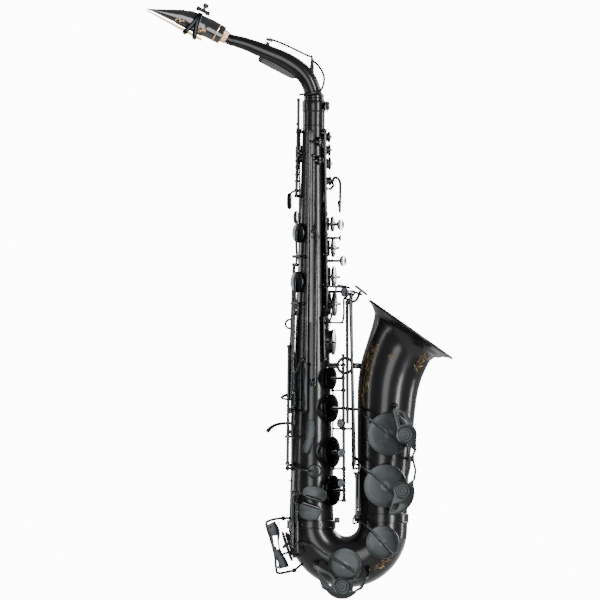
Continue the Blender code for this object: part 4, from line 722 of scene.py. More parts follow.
def key(name, cup_name=None, rest=0.0, rod=None, span=None, sides=64, lift=0.0, build=None, with_pad=True,
        look=None):
    """Make one key's pieces: plated hinge tube, cup and touches in their own finish (by default the darker
    gloss copy of the key metal, whose darker colour is painted shade), pad and inlay.
    """
    swing = None if rod is None else (tuple(along(rod, span[0])), tuple(along(rod, span[1])), rest)
    metal, inlay, tube = Shape(), Shape(), Shape()
    if rod is not None:
        hinge_tube(tube, rod, *span)
    if cup_name:
        cup(metal, cup_name, lift, sides)
    build(metal, inlay, tube)
    metal.made(f"{name}_touch", look or GLOSS_PAINTED_SHADE, name, swing)
    if tube.verts:
        tube.made(f"{name}_tube", NICKEL, name, swing)
    if inlay.verts:
        inlay.made(f"{name}_inlay", PEARL, name, swing)
    if cup_name and with_pad:
        pad(cup_name, lift).made(f"{name}_pad", LEATHER, name, swing)


# ---------------------------------------------------------------- stack keys
def stack_key(name, rod, span, rest, spot=None, out=None, radius=5.0):
    z = BODY_HOLES[name][1]
    normal = normal_at(BODY_HOLES[name][0])
    hinge = along(rod, z)
    middle = cup_top(name, 0.4)
    toward = hinge - middle
    knee = hinge + normal * (-toward.dot(normal)) * 0.8

    def build(metal, inlay, tube):
        foot_arm(metal, rod, z, [knee, middle, middle - toward * 0.3], 1.7)
        metal.turned(middle - normal * 0.8, normal, [(0.01, 0), (2.6, 0), (2.6, 0.9), (2.2, 1.3),
            (0.01, 1.3)], 24)
        if spot is None:
            return
        level = min(max(spot[2], span[0] + 2.5), span[1] - 2.5)
        face = Vector(out).normalized()
        seat = Vector(spot) - face * 1.2
        foot_arm(metal, rod, level, [along(rod, level).lerp(seat, 0.6) + face * 2.0, seat], 1.7)
        pearl(metal, inlay, spot, out, radius)

    key(name, name, rest, rod, span, build=build)


def build_stacks():
    upper, turned, lower = (1, 0, 0), (0.87, -0.5, 0), (0.62, -0.78, 0)
    stack_key("b_key", UPPER_ROD, (109.0, 131.0), -8.0, (31.0, -1.0, 119.5), turned, 6.4)
    stack_key("bis_key", UPPER_ROD, (84.5, 106.5), -8.0, (30.5, -1.0, 103.5), upper, 3.8)
    stack_key("a_key", UPPER_ROD, (48.0, 82.0), -8.0, (34.0, -1.0, 76.0), turned, 6.4)
    stack_key("g_key", UPPER_ROD, (22.0, 45.5), -8.0, (35.5, -1.0, 39.0), turned, 6.2)
    stack_key("f_sharp_cup", LOWER_ROD, (-78.0, -50.0), 9.0)
    stack_key("f_key", LOWER_ROD, (-124.0, -80.5), 9.0, (30.5, -27.5, -118.5), lower, 5.6)
    stack_key("e_key", LOWER_ROD, (-172.0, -126.5), 9.0, (30.8, -28.0, -154.0), lower, 5.6)
    stack_key("d_key", LOWER_ROD, (-210.0, -174.5), 9.0, (31.0, -28.0, -190.0), lower, 5.6)


# ---------------------------------------------------------------- side and trill keys
def touch(shape, centre, angle, width, length, thick=2.4, up=Z, crown=0.4):
    shape.slab(stadium(width, length), centre, normal_at(angle), up, thick, 0.7, crown)


def build_side_keys():
    def high_e(metal, inlay, tube):
        touch(metal, (-19.9, -28.8, -69.6), -34, 9.6, 25.0)
        foot_arm(metal, HIGH_E_ROD, -41, [(-13.5, -29.0, -44.0), (-19.6, -29.0, -62.0)])
        key_arm(tube, [along(HIGH_E_ROD, 219), (-3.0, -22.5, 219.0), cup_top("high_e_key", 0.2)], 1.3)

    def f_sharp(metal, inlay, tube):
        touch(metal, (-9.7, -34.9, -76.0), -10, 7.8, 62.0, 2.0)
        foot_arm(metal, F_SHARP_ROD, -66, [(-1.0, -32.5, -67.0), (-8.0, -34.0, -68.0)])

    def f_sharp_cup(metal, inlay, tube):
        key_arm(tube, [along(F_SHARP_CUP_ROD, 118), (2.8, -26.0, 115.0), (4.6, -27.0, 108.0),
            (4.6, -27.0, 99.0)])
        key_arm(tube, [along(F_SHARP_CUP_ROD, 196.5), (1.0, -23.5, 196.5),
            cup_top("high_f_sharp_cup", 0.2)], 1.3)

    def trill(metal, inlay, tube):
        metal.plate(strap_outline([(0.8, 17.2, 3.0), (1.0, 14.6, 4.6), (1.0, 5.0, 4.9), (-0.1, -5.0, 4.8),
            (-2.6, -14.0, 4.6), (-4.4, -20.0, 3.9), (-5.2, -22.8, 1.8)]), (-0.2, -36.4, -132.0), DOWN, Z,
            2.4, edge=0.7)
        foot_arm(tube, TRILL_ROD, -135, [(-30.5, -17.0, -135.0), (-22.0, -31.0, -135.0),
            (-4.0, -36.3, -135.0)])
        foot_arm(tube, TRILL_ROD, -167, [(-29.5, -18.0, -167.5), (-20.0, -30.0, -170.0),
            (-4.0, -34.6, -175.0), cup_top("trill_key", 0.4)])

    def side_bb(metal, inlay, tube):
        touch(metal, (-21.0, -29.5, -112.8), -38, 9.6, 21.0)
        foot_arm(metal, SIDE_BB_ROD, -102, [(-25.0, -25.0, -104.0), (-22.5, -29.2, -107.0)])

    def side_c(metal, inlay, tube):
        touch(metal, (-20.6, -29.0, -91.0), -38, 10.0, 17.0)
        foot_arm(metal, SIDE_C_ROD, -84, [(-35.5, 3.0, -87.0), (-36.5, -10.0, -89.0), (-32.0, -22.0, -90.0),
            (-23.0, -29.0, -91.0)])

    key("high_e_key", "high_e_key", 0, HIGH_E_ROD, (-47.0, 230.0), build=high_e)
    key("high_f_sharp_touch", None, 0, F_SHARP_ROD, (-71.0, 103.0), build=f_sharp)
    key("high_f_sharp_cup", "high_f_sharp_cup", 0, F_SHARP_CUP_ROD, (112.5, 201.0), build=f_sharp_cup)
    key("trill_key", "trill_key", -5.0, TRILL_ROD, (-172.0, -28.0), build=trill, look=SATIN)
    key("side_bb_touch", None, 0, SIDE_BB_ROD, (-104.0, 11.0), build=side_bb)
    key("side_c_touch", None, 0, SIDE_C_ROD, (-86.0, 70.0), build=side_c)
    for name, turn_z, reach in (("side_c_cup", 81.0, 24.0), ("side_bb_cup", 24.5, 22.0)):
        out = normal_at(BODY_HOLES[name][0])
        side = Vector((-out.y, out.x, 0))
        middle = out * (body_radius(turn_z) + 6.0) + Vector((0, 0, turn_z))
        tail = out * (body_radius(turn_z) + 7.0) + Vector((0, 0, turn_z - 10.0))

        def lever(metal, inlay, tube, name=name, middle=middle, side=side, tail=tail, reach=reach, out=out):
            tube.rod(middle - side * 5.5, middle + side * 5.5, 2.0, 24)
            key_arm(metal, [tail, middle, cup_top(name, 0.6, (0, 0, -reach / 2)),
                cup_top(name, 0.4, (0, 0, 3))], 1.7, 1.6, out, (0.8, 1.1))
            metal.turned(tail - out * 1.8, out, [(0.8, 0), (2.1, 0.5), (2.4, 1.6), (2.1, 2.8), (0.8, 3.2)],
                20)

        key(name, name, build=lever)


# ---------------------------------------------------------------- palm, octave and thumb keys
def build_palm_keys():
    touches = {"palm_f_key": (-17.5, 25.0, 206.0), "palm_eb_key": (-9.0, 29.0, 185.0),
        "palm_d_key": (-0.5, 30.0, 166.0)}
    for name, rod in PALM_RODS.items():
        angle, z = BODY_HOLES[name][:2]
        hinge, spot = along(rod, z), Vector(touches[name])
        start = math.degrees(math.atan2(hinge.x, -hinge.y)) % 360
        bend = [on_body(start + (angle - start) * share, 6.6, z) for share in (0.3, 0.55, 0.8)]
        low = max(spot.z - 6, rod[0][2] + 3)
        elbow = along(rod, low).lerp(spot, 0.6) + Vector((0, 2.0, 0))

        def lever(metal, inlay, tube, name=name, rod=rod, z=z, bend=bend, low=low, elbow=elbow, spot=spot):
            foot_arm(metal, rod, z, [*bend, cup_top(name, 0.2)], 1.3)
            foot_arm(metal, rod, low, [elbow, spot])
            metal.slab(stadium(9.0, 20.0), spot, (-0.35, 0.94, 0), Z, 2.8, 0.8, 0.5)

        key(name, name, 0, rod, (rod[0][2], rod[1][2]), build=lever)

    def front_f(metal, inlay, tube):
        tube.rod((20.4, -4.2, 162.5), (20.4, 4.2, 162.5), 1.9, 24)
        key_arm(metal, [(20.4, 0, 162.5), (23.6, 0, 166.0), cup_top("front_f_key", 0.3)], 1.4)
        key_arm(metal, [cup_top("front_f_key", 0.6), (26.0, 0, 176.2), (31.6, 0, 171.6), (32.2, 0, 158.0),
            (32.0, 0, 136.0)], 1.7)
        metal.slab(stadium(9.0, 15.0), (31.0, 0, 141.0), (1, 0, 0.15), Z, 2.6, 0.7, 0.4)

    key("front_f_key", "front_f_key", build=front_f)


def build_octave_mechanism():
    def thumb(metal, inlay, tube):
        foot_arm(metal, OCTAVE_ROD, 160, [(-24.5, 0.0, 159.0), (-28.0, 6.0, 156.0)])
        metal.slab(stadium(11.0, 20.0), (-28.6, 6.0, 147.5), (-0.9, 0.43, 0), Z, 2.6, 0.8, 0.6)
        for z in (170.0, 178.0, 187.0):
            tube.turned(along(OCTAVE_ROD, z), Z, [(1.9, 0), (2.7, 0.4), (2.9, 1.4), (2.7, 2.4), (1.9, 2.8)],
                24)

    def vent(metal, inlay, tube):
        foot_arm(metal, OCTAVE_ROD, 205, [cup_top("body_octave_key", 0.2)], 1.3)

    def link(metal, inlay, tube):
        tube.turned((-18.5, 2.0, 269.0), Z, [(0.01, -2.4)] + [polar(2.4, turn)
            for turn in (-1.2, -0.9, -0.6, -0.3, 0, 0.3, 0.6, 0.9, 1.2)] + [(0.01, 2.4)], 24)
        metal.wire([along(OCTAVE_LINK_ROD, 240), (-20.5, 7.0, 240.0), (-20.5, 9.0, 240.0)], 1.3)

    key("thumb_octave_lever", None, 0, OCTAVE_ROD, (155.0, 194.0), build=thumb)
    key("body_octave_key", "body_octave_key", 0, OCTAVE_ROD, (197.5, 229.0), build=vent)
    key("octave_link", None, 0, OCTAVE_LINK_ROD, (234.5, 268.0), build=link)

    metal = Shape()
    for way in (1, -1):
        metal.rod((-2.6, way * 4.6, 317.0), (-2.6, way * 7.3, 317.0), 2.3, 24, 0.4)
        metal.wire([(-2.6, way * 6.0, 317.0), (6.0, way * 9.5, 309.0), (12.0, way * 12.5, 296.0),
            (9.0, way * 14.6, 282.0), (0.0, way * 15.4, 277.6), (-8.0, way * 14.2, 276.0)], 1.2, 1.4,
            steps=8)
    metal.wire([(-8.0, 14.2, 276.0), (-14.5, 9.5, 275.6), (-17.0, 0, 275.2), (-14.5, -9.5, 275.6),
        (-8.0, -14.2, 276.0)], 1.2, 1.4, steps=8)
    metal.wire([(-2.6, 6.0, 317.0), (-2.8, 5.0, 320.6), (-3.0, 0, 321.6), (-2.8, -5.0, 320.6),
        (-2.6, -6.0, 317.0)], 1.4)
    metal.wire([(-53.5, 0, 342.0), (-40.0, 0, 337.2), (-24.0, 0, 330.0), (-8.0, 0, 322.4),
        (-2.6, 0, 321.0)], 2.0, 1.3, (0.37, 0, 0.93), steps=8)
    tilt = Vector((1.25, 0, 3.3)).normalized()
    metal.turned((-54.55, 0, 339.1), tilt, [(0.01, 0.5), (3.8, 0.5), (4.0, 0.1), (4.4, 0.4), (4.4, 2.4),
        (3.9, 3.1), (2.0, 3.5), (0.01, 3.6)], 40)
    metal.made("neck_octave_lever", NICKEL, "neck_octave_key")
    leather = Shape()
    leather.turned((-54.55, 0, 339.1), tilt, [(0.01, -0.1), (3.2, -0.1), (3.7, 0.2), (3.7, 0.6),
        (0.01, 0.6)], 32)
    leather.made("neck_octave_pad", LEATHER, "neck_octave_key")


# ---------------------------------------------------------------- little-finger and bell keys
def table_plate(metal, corners, centre, normal, thick=2.6, up=(0, 1, 0), radius=2.2):
    metal.slab(soft_corners(corners, radius), centre, normal, up, thick, 0.6, 0.3)


def cup_rib(metal, points, height=1.5):
    """Raised spine that stiffens a big cup."""
    metal.wire(points, 1.7, height, DOWN, steps=3)


def on_cup(name, reach, fall):
    """Spot on the cup's face, by its distance to the right of and above the middle."""
    middle, out = hole_frame(name)[:2]
    across = Vector((-out.y, out.x, 0))
    return middle + out * (cup_low(name) + CUP_THICK + 1.0) + across * reach + Vector((0, 0, fall))


def build_bell_keys():
    def low_b(metal, inlay, tube):
        foot_arm(metal, LOW_B_ROD, -101.4, [(50.6, -11.0, -101.6), (56.4, -19.6, -102.0),
            (61.0, -32.0, -103.4), (68.4, -46.0, -110.6)], 2.0)
        cup_rib(metal, [(66.0, -43.0, -108.0), (69.5, -46.4, -111.4), on_cup("low_b_key", -18.0, 14.2),
            on_cup("low_b_key", 0, 0), on_cup("low_b_key", 12.8, -14.6)])
        table_plate(metal, [(-7, -5), (7.5, -5), (7.5, 5), (-7, 5)], (49.8, 16.0, 38.0), (0.35, 0, 0.94))
        foot_arm(metal, LOW_B_ROD, 26, [(40.6, -4.0, 28.0), (43.0, 8.0, 31.0), (48.0, 14.0, 37.8)], 1.7)

    key("low_b_key", "low_b_key", -5.5, LOW_B_ROD, (-119.0, 29.0), 128, 2.0, low_b, False, SATIN)

    def low_bb(metal, inlay, tube):
        foot_arm(metal, LOW_BB_ROD, -160, [(57.0, -30.0, -163.0), (64.6, -41.6, -170.6)], 2.0)
        cup_rib(metal, [(63.4, -40.0, -169.4), (67.0, -43.4, -173.0), on_cup("low_bb_key", -15.0, 14.0),
            on_cup("low_bb_key", 0, 0), on_cup("low_bb_key", 11.2, -11.5)])
        table_plate(metal, [(-9, -5), (9, -5), (9, 5), (-9, 5)], (56.0, 3.0, 41.0), (0.6, 0, 0.8))
        foot_arm(metal, LOW_BB_ROD, 26.5, [(51.5, -17.0, 29.0), (54.5, -6.0, 36.0), (55.5, 1.0, 41.0)], 1.7)

    key("low_bb_key", "low_bb_key", -5.5, LOW_BB_ROD, (-166.0, 29.0), 128, 2.0, low_bb, False, SATIN)
    for name, rod in (("low_b", LOW_B_ROD), ("low_bb", LOW_BB_ROD)):
        swing = (tuple(along(rod, -100.0)), tuple(along(rod, 0.0)), -5.5)
        pad(f"{name}_key", 0.6, 96, 1.6).made(f"{name}_leather", LEATHER, f"{name}_pad", swing)
    depth = -(cup_low("low_c_sharp_key") + CUP_THICK)

    def c_sharp(metal, inlay, tube):
        foot_arm(metal, C_SHARP_ROD, -233.5, [(58.4, -33.0, -235.6), (67.0, depth - 1.0, -241.6)], 2.0)
        cup_rib(metal, [(66.0, depth - 0.6, -240.8), (70.0, depth - 1.2, -244.6),
            (85.4, depth - 1.0, -260.9), (97.5, depth - 1.0, -274.4)])
        foot_arm(metal, C_SHARP_ROD, -182, [(53.0, -20.0, -180.0), (51.0, -15.5, -178.0)])

    key("low_c_sharp_key", "low_c_sharp_key", 0.0, C_SHARP_ROD, (-236.5, -179.0), 112, 0.0, c_sharp,
        look=SATIN)

    def lever(metal, inlay, tube):
        foot_arm(metal, C_SHARP_LEVER_ROD, -168, [(50.0, -9.0, -169.0), (49.6, -12.5, -172.0)], 1.4)
        foot_arm(metal, C_SHARP_LEVER_ROD, 34, [(43.5, 4.0, 36.0), (38.0, 16.0, 44.5)], 1.6)
        table_plate(metal, [(-8, -5), (8, -5), (8, 5), (-8, 5)], (37.0, 21.0, 45.5), (0.2, 0, 0.98))

    key("low_c_sharp_lever", None, 0.0, C_SHARP_LEVER_ROD, (-172.0, 38.5), build=lever)

    def g_sharp(metal, inlay, tube):
        foot_arm(metal, G_SHARP_ROD, -21.3, [(22.0, -24.0, -21.3), (27.0, -15.0, -21.3),
            cup_top("g_sharp_key", 0.5)])
        foot_arm(metal, G_SHARP_ROD, 2, [(20.0, -27.0, 3.0), (25.0, -27.0, 20.0), (28.0, -25.5, 44.0)], 1.6)
        table_plate(metal, [(-5, -12), (5, -12), (5, 12), (-5, 12)], (29.5, -25.0, 45.0), (0.05, 0, 1),
            up=(1, 0, 0))

    key("g_sharp_key", "g_sharp_key", 0.0, G_SHARP_ROD, (-41.0, 6.0), build=g_sharp)


def roller(tube, start, end, radius=2.2):
    """Roller on its pin, waisted a little at both ends."""
    long = (Vector(end) - Vector(start)).length
    tube.turned(start, Vector(end) - Vector(start), [(0.7, 0), (0.7, 0.6), (radius - 0.5, 0.7),
        (radius, 1.3), (radius + 0.1, long / 2), (radius, long - 1.3), (radius - 0.5, long - 0.7),
        (0.7, long - 0.6), (0.7, long)], 24)


def build_pinky_keys():
    depth = -(cup_low("low_c_key") + CUP_THICK)

    def low_c(metal, inlay, tube):
        foot_arm(metal, LOW_C_ROD, -263, [(-10.0, -33.0, -263.0), (0.0, depth - 1.0, -263.4),
            (21.0, depth - 1.3, -276.4)], 2.0)
        cup_rib(metal, [(19.0, depth - 1.2, -275.0), (41.1, depth - 1.0, -288.5),
            (52.5, depth - 1.0, -295.6)])
        outline = [(-9.5, 14.5), (9.0, 8.5), (15.5, 7.0), (13.5, 1.0), (9.5, -6.0), (0.5, -7.0),
            (-8.5, -4.5), (-13.0, 1.0), (-13.0, 9.5)]
        metal.plate(soft_corners(outline, 1.8), (-1.0, -41.5, -228.5), DOWN, Z, 2.6, edge=0.6)
        foot_arm(metal, LOW_C_ROD, -224, [(-15.0, -35.0, -225.0), (-6.0, -41.0, -226.0)], 1.8)
        roller(tube, (-9.4, -42.6, -213.6), (12.0, -42.6, -220.6))

    key("low_c_key", "low_c_key", -5.0, LOW_C_ROD, (-274.0, -217.0), 112, 0.0, low_c, look=SATIN)

    def low_eb(metal, inlay, tube):
        middle = cup_top("low_eb_key", 0.5)
        foot_arm(metal, LOW_EB_ROD, -262, [(-30.0, -21.0, -264.0), (-33.5, -12.0, middle.z), middle], 1.8)
        outline = [(-8.5, 5.5), (-3.0, 8.5), (4.5, 9.0), (13.5, 7.0), (20.0, 2.0), (20.0, -5.5),
            (17.5, -9.5), (14.5, -9.5), (-5.0, -3.5), (-8.5, -3.0)]
        metal.plate(soft_corners(outline, 1.4), (-2.0, -46.0, -202.5), DOWN, Z, 2.6, edge=0.6)
        foot_arm(metal, LOW_EB_ROD, -206.5, [(-20.5, -34.0, -204.5), (-8.0, -45.4, -202.0)], 1.8)
        roller(tube, (-7.6, -47.0, -205.6), (13.2, -47.0, -212.4))

    key("low_eb_key", "low_eb_key", 0.0, LOW_EB_ROD, (-268.0, -204.5), 96, 0.0, low_eb, look=SATIN)


# ---------------------------------------------------------------- tubes
def tone_holes(name, node, holes, sides):
    rims = Shape()
    for hole in holes:
        chimney(rims, hole, sides)
    rims.made(name, LACQUER, node)


def build_tubes():
    heights = [BODY_BOTTOM + (BODY_TOP - BODY_BOTTOM) * step / 84 for step in range(85)]
    body = Shape()
    tube_skin(body, [((0, 0, z), Z, body_radius(z)) for z in heights], TUBE_WALL, 80)
    body.made("body_cone", LACQUER, "body_tube", cuts=bore_cuts(BODY_HOLES))
    tone_holes("body_tone_holes", "body_tube", BODY_HOLES, 48)

    sections = [((BOW_X - BOW_R, 0, BOW_Z - 0.1), (0, 0, -1), BOW_TUBE[0])]
    for step in range(1, 60):
        angle = 180.0 + 3.0 * step
        turn = math.radians(angle)
        sections.append(((BOW_X + BOW_R * math.cos(turn), 0, BOW_Z + BOW_R * math.sin(turn)),
            (-math.sin(turn), 0, math.cos(turn)), bow_radius(angle)))
    sections += [((BOW_X + BOW_R, 0, z), Z, BOW_TUBE[2]) for z in (BOW_Z, -238.0, BELL_FOOT)]
    bow = Shape()
    tube_skin(bow, sections, TUBE_WALL, 88)
    bow_holes = ["low_c_key", "low_c_sharp_key", "low_eb_key"]
    bow.made("bow_tube", LACQUER, "bow", cuts=bore_cuts(bow_holes))
    tone_holes("bow_tone_holes", "bow", bow_holes, 72)

    bell = Shape()
    tube_skin(bell, sections_along(BELL, 7), TUBE_WALL, 128)
    bell.made("bell_flare", LACQUER, "bell", cuts=bore_cuts(BELL_HOLES, 96))
    tone_holes("bell_tone_holes", "bell", BELL_HOLES, 96)
    edge = Shape()
    edge.wire([on_bell(len(BELL) - 1, angle, 0.0) for angle in range(0, 360, 5)], 1.7, closed=True, steps=2,
        sides=20)
    edge.made("bell_rolled_rim", LACQUER, "bell")


def on_bell(station, angle, rise):
    """Point on the bell's skin, by station and angle: 0 is the right-hand side, 90 away from the body."""
    last = len(BELL) - 1
    index = min(int(station), last - 1)
    share = station - index
    x, z, radius = (BELL[index][axis] + (BELL[index + 1][axis] - BELL[index][axis]) * share
        for axis in range(3))
    ahead, behind = min(index + 1, last), max(index, 0)
    axis = Vector((BELL[ahead][0] - BELL[behind][0], 0, BELL[ahead][1] - BELL[behind][1])).normalized()
    side = Vector((axis.z, 0, -axis.x))
    turn = math.radians(angle)
    return Vector((x, 0, z)) + (Vector((0, -1, 0)) * math.cos(turn)
        + side * math.sin(turn)) * (radius + rise)


def volute(centre, size, start, turns, way, points=20):
    """Spiral that winds in from `size` to a small eye."""
    made = []
    for step in range(points):
        share = step / (points - 1)
        reach = size * (1 - 0.85 * share)
        made.append(polar(reach, start + way * turns * 2 * math.pi * share, centre))
    return made


def leaf(root, direction, length, width):
    """Closed pointed leaf outline."""
    along_leaf = Vector((math.cos(direction), math.sin(direction)))
    side = Vector((-along_leaf.y, along_leaf.x))
    start = Vector(root)
    return [tuple(start + along_leaf * length * share + side * width * bulge) for share, bulge in ((0, 0),
        (0.3, 0.8), (0.6, 0.7), (1, 0), (0.65, -0.5), (0.3, -0.7), (0, 0))]


def scrollwork(centre, size, seed, count=7):
    """Strokes of a made-up vine: a chain of volutes with leaves along it."""
    rule = random.Random(seed)
    strokes = []
    for index in range(count):
        share = index / max(count - 1, 1) - 0.5
        way = 1 if index % 2 else -1
        middle = (centre[0] + way * size * 0.18 + rule.uniform(-0.4, 0.4), centre[1] + share * size * 2.0)
        reach = size * rule.uniform(0.2, 0.3)
        strokes.append(volute(middle, reach, rule.uniform(-0.6, 0.6) + math.pi / 2 * way, 1.3, way))
        for twig in range(3):
            direction = rule.uniform(0.4, 1.3) * way + math.pi * (twig % 2)
            strokes.append(leaf(middle, direction, reach * rule.uniform(1.4, 2.1), reach * 0.28))
    return strokes


def engrave(strokes, on_skin, name, node, width=0.2):
    """Lay strokes of (across, along) millimetres on a skin as fine bright lines."""
    lines = Shape()
    for stroke in strokes:
        lines.wire([on_skin(*spot) for spot in stroke], width, sides=5, steps=2)
    lines.made(name, ETCH if node in ("bell", "bow") else GOLD, node)


def build_engraving():
    def bell_skin(middle_angle, station):
        def spot(across, up):
            level = station + up / 14.0
            turn = math.degrees(across / (bell_radius(max(min(-35.0 + up, -12.0), -200.0)) + 1))
            return on_bell(max(min(level, 13.4), 0.0), middle_angle + turn, 0.02)
        return spot

    engrave(scrollwork((0, 0), 24.0, 3, 9), bell_skin(-52, 7.2), "bell_scroll_left", "bell")
    engrave(scrollwork((0, 0), 15.0, 8, 7), bell_skin(50, 9.4), "bell_scroll_right", "bell")
    turns = [math.pi * step / 12 for step in range(25)]
    rosette = [[polar(radius, turn) for turn in turns] for radius in (3.4, 4.6)]
    rosette += [leaf(polar(0.8, turn), turn, 2.2, 0.5) for turn in turns[:24:3]]
    engrave(rosette, bell_skin(-8, 8.6), "bell_rosette", "bell", 0.14)

    def bow_skin(across, up):
        angle = 318.0 + up * 0.85
        turn, lean = math.radians(angle), math.radians(40.0 + across * 1.6)
        radius = bow_radius(angle) + 0.02
        out = Vector((math.cos(turn), 0, math.sin(turn)))
        return (Vector((BOW_X, 0, BOW_Z)) + out * BOW_R
            + (Vector(DOWN) * math.cos(lean) + out * math.sin(lean)) * radius)

    engrave(scrollwork((0, 0), 14.0, 21, 6), bow_skin, "bow_scroll", "bow")


def band(shape, centre, low, high, inner, outer, sides=80):
    """Ferrule ring with a bead at each edge."""
    tall = high - low
    shape.turned((centre, 0, low), Z, [(inner, 0.1), (outer - 0.4, 0), (outer, 0.4), (outer, 1.2),
        (outer - 0.45, 1.6), (outer - 0.45, tall - 1.6), (outer, tall - 1.2), (outer, tall - 0.4),
        (outer - 0.4, tall), (inner, tall - 0.1)], sides, loop=True)


def screw_head(shape, base, axis, radius=1.6, tall=1.2):
    """Slotted cheese head."""
    up = Vector(axis).normalized()
    shape.turned(base, up, [(radius, 0), (radius, tall - 0.3), (radius - 0.3, tall), (0.01, tall)], 24)
    side = up.orthogonal().normalized()
    spot = Vector(base) + up * tall
    shape.bar(spot - side * radius * 0.8, spot + side * radius * 0.8, 0.4, 0.3, up, 0.05)


def build_ferrules():
    lower = Shape()
    band(lower, 0, -245.2, -235.2, 28.5, 29.9)
    lower.slab(rounded(7.0, 7.0, 1.2), (30.8, 0, -235.0), DOWN, Z, 7.0, 0.8)
    screw_head(lower, (30.8, -3.4, -235.0), DOWN, 2.0, 1.0)
    for way in (-1, 1):
        screw_head(lower, Vector((way * 12.0, -27.0, -240.2)), (way * 0.4, -0.92, 0), 1.7, 0.8)
    lower.made("bow_ferrule_ring", LACQUER, "body_bow_ferrule")
    upper = Shape()
    band(upper, BOW_X + BOW_R, -238.0, -226.5, 30.1, 31.6)
    upper.made("bell_ferrule_ring", LACQUER, "bell_bow_ferrule")
    socket = Shape()
    socket.turned((0, 0, 236.3), Z, [(11.6, -0.5), (13.1, -0.5), (13.4, -0.2), (13.4, 2.0), (13.0, 2.4),
        (13.4, 2.8), (13.4, 18.6), (13.9, 19.2), (14.2, 19.8), (14.2, 31.0), (13.8, 31.6), (12.8, 31.8),
        (12.6, 32.2), (12.6, 34.6), (12.2, 35.0), (11.6, 35.0)], 80, loop=True)
    socket.slab(rounded(6.0, 10.0, 1.5), (15.9, -6.4, 262.0), DOWN, Z, 5.0, 0.8)
    socket.slab(rounded(6.0, 10.0, 1.5), (15.9, 0.4, 262.0), DOWN, Z, 5.0, 0.8)
    socket.made("neck_socket", LACQUER, "neck_receiver")
    screw = Shape()
    axis = (0, 1, 0)
    screw.turned((15.8, -12.6, 261.0), axis, [(0.01, 0), (2.9, 0), (3.4, 0.5), (3.4, 2.4), (2.9, 2.9),
        (1.9, 3.0), (1.9, 17.3), (1.6, 17.6), (0.01, 17.6)], 32)
    screw.turned((15.8, -16.2, 261.0), axis, [(1.2, 0), (1.9, 0.8), (1.9, 4.0)], 24)
    paddle = [(0, -7.0), (2.4, -6.4), (3.2, -4.4), (2.6, -2.0), (1.9, 0), (2.6, 2.0), (3.2, 4.4),
        (2.4, 6.4), (0, 7.0), (-2.4, 6.4), (-3.2, 4.4), (-2.6, 2.0), (-1.9, 0), (-2.6, -2.0), (-3.2, -4.4),
        (-2.4, -6.4)]
    screw.slab([(y, x) for x, y in paddle], (15.8, -15.0, 261.0), (1, 0, 0), (0, 1, 0), 2.0, 0.5)
    screw.made("neck_thumbscrew", NICKEL, "neck_clamp_screw")


def build_neck():
    toward = Vector((-math.cos(MP_SLOPE), 0, math.sin(MP_SLOPE)))
    start = Vector((NECK[0][0], 0, NECK[0][1]))
    tip = start + toward * 36.0
    stations = [(tip.x, tip.z, 6.4), *NECK]
    crook = Shape()
    tube_skin(crook, sections_along(stations, 9), TUBE_WALL, 72)
    crook.turned((0, 0, 241.0), Z, [(9.9, 0), (10.6, 0), (10.9, 0.3), (10.9, 30.4), (12.0, 30.7),
        (12.4, 31.1), (12.4, 33.9), (12.0, 34.5), (11.2, 34.9), (10.4, 36.5), (9.6, 36.5)], 72, loop=True)
    crook.slab(soft_corners([(-26, -6.0), (22, -6.5), (31, 1.5), (24, 4.5), (-26, 3)], 5.0),
        (-43.0, 0, 309.2), DOWN, (0.45, 0, 0.9), 3.0, 0.7)
    crook.turned((-2.6, 0, 301.0), Z, [(2.6, 0), (2.6, 9.0), (2.0, 11.0), (2.0, 15.9)], 32)
    crook.rod((-2.6, -4.0, 317.0), (-2.6, 4.0, 317.0), 2.3, 32, 0.4)
    pip = Vector((3.1, 0, 7.2)).normalized()
    crook.turned((-58.0, 0, 331.0), pip, [(3.6, 0), (3.2, 1.6), (2.3, 2.6), (2.3, 7.4), (1.9, 7.8),
        (0.9, 7.8), (0.9, 0)], 32, loop=True)
    crook.made("neck_crook", LACQUER, "neck")
    cork = Shape()
    cork.turned(start + toward * 2.0, toward, [(7.0, 0), (7.5, 0), (7.9, 0.5), (7.9, 34.4), (7.5, 35.0),
        (7.0, 35.0)], 64, loop=True)
    cork.made("neck_cork_sleeve", CORK, "neck_cork")


def along_mouthpiece(reach, rise, across=0.0):
    x = MP_ORIGIN[0] - reach * math.cos(MP_SLOPE) + rise * math.sin(MP_SLOPE)
    return Vector((x, across, MP_ORIGIN[1] + reach * math.sin(MP_SLOPE) + rise * math.cos(MP_SLOPE)))


# reach from the shank, half width, top, bottom, squareness
MP_SECTIONS = [(-6.5, 11.0, 11.0, -11.0, 0.0), (14.0, 11.6, 11.5, -11.8, 0.0),
    (17.0, 12.0, 11.0, -13.2, 0.1), (38.0, 11.6, 9.2, -13.6, 0.25), (47.0, 11.0, 6.6, -13.8, 0.3),
    (64.0, 10.2, -2.2, -14.1, 0.4), (80.0, 9.4, -10.4, -14.4, 0.5), (88.5, 8.8, -14.2, -15.2, 0.5),]


def mouthpiece_spot(section, turn, grow=0.0):
    reach, half, top, bottom, square = section
    middle, tall = (top + bottom) / 2, (top - bottom) / 2 + grow
    blunt = 1.0 / max(abs(math.cos(turn)), abs(math.sin(turn))) ** square
    rise = middle + tall * max(-1.0, min(1.0, math.sin(turn) * blunt))
    return along_mouthpiece(reach, rise, (half + grow) * math.cos(turn) * blunt)


def section_at(reach):
    for low, high in zip(MP_SECTIONS, MP_SECTIONS[1:]):
        if low[0] <= reach <= high[0]:
            share = (reach - low[0]) / (high[0] - low[0])
            return tuple(a + (b - a) * share for a, b in zip(low, high))
    return MP_SECTIONS[-1]


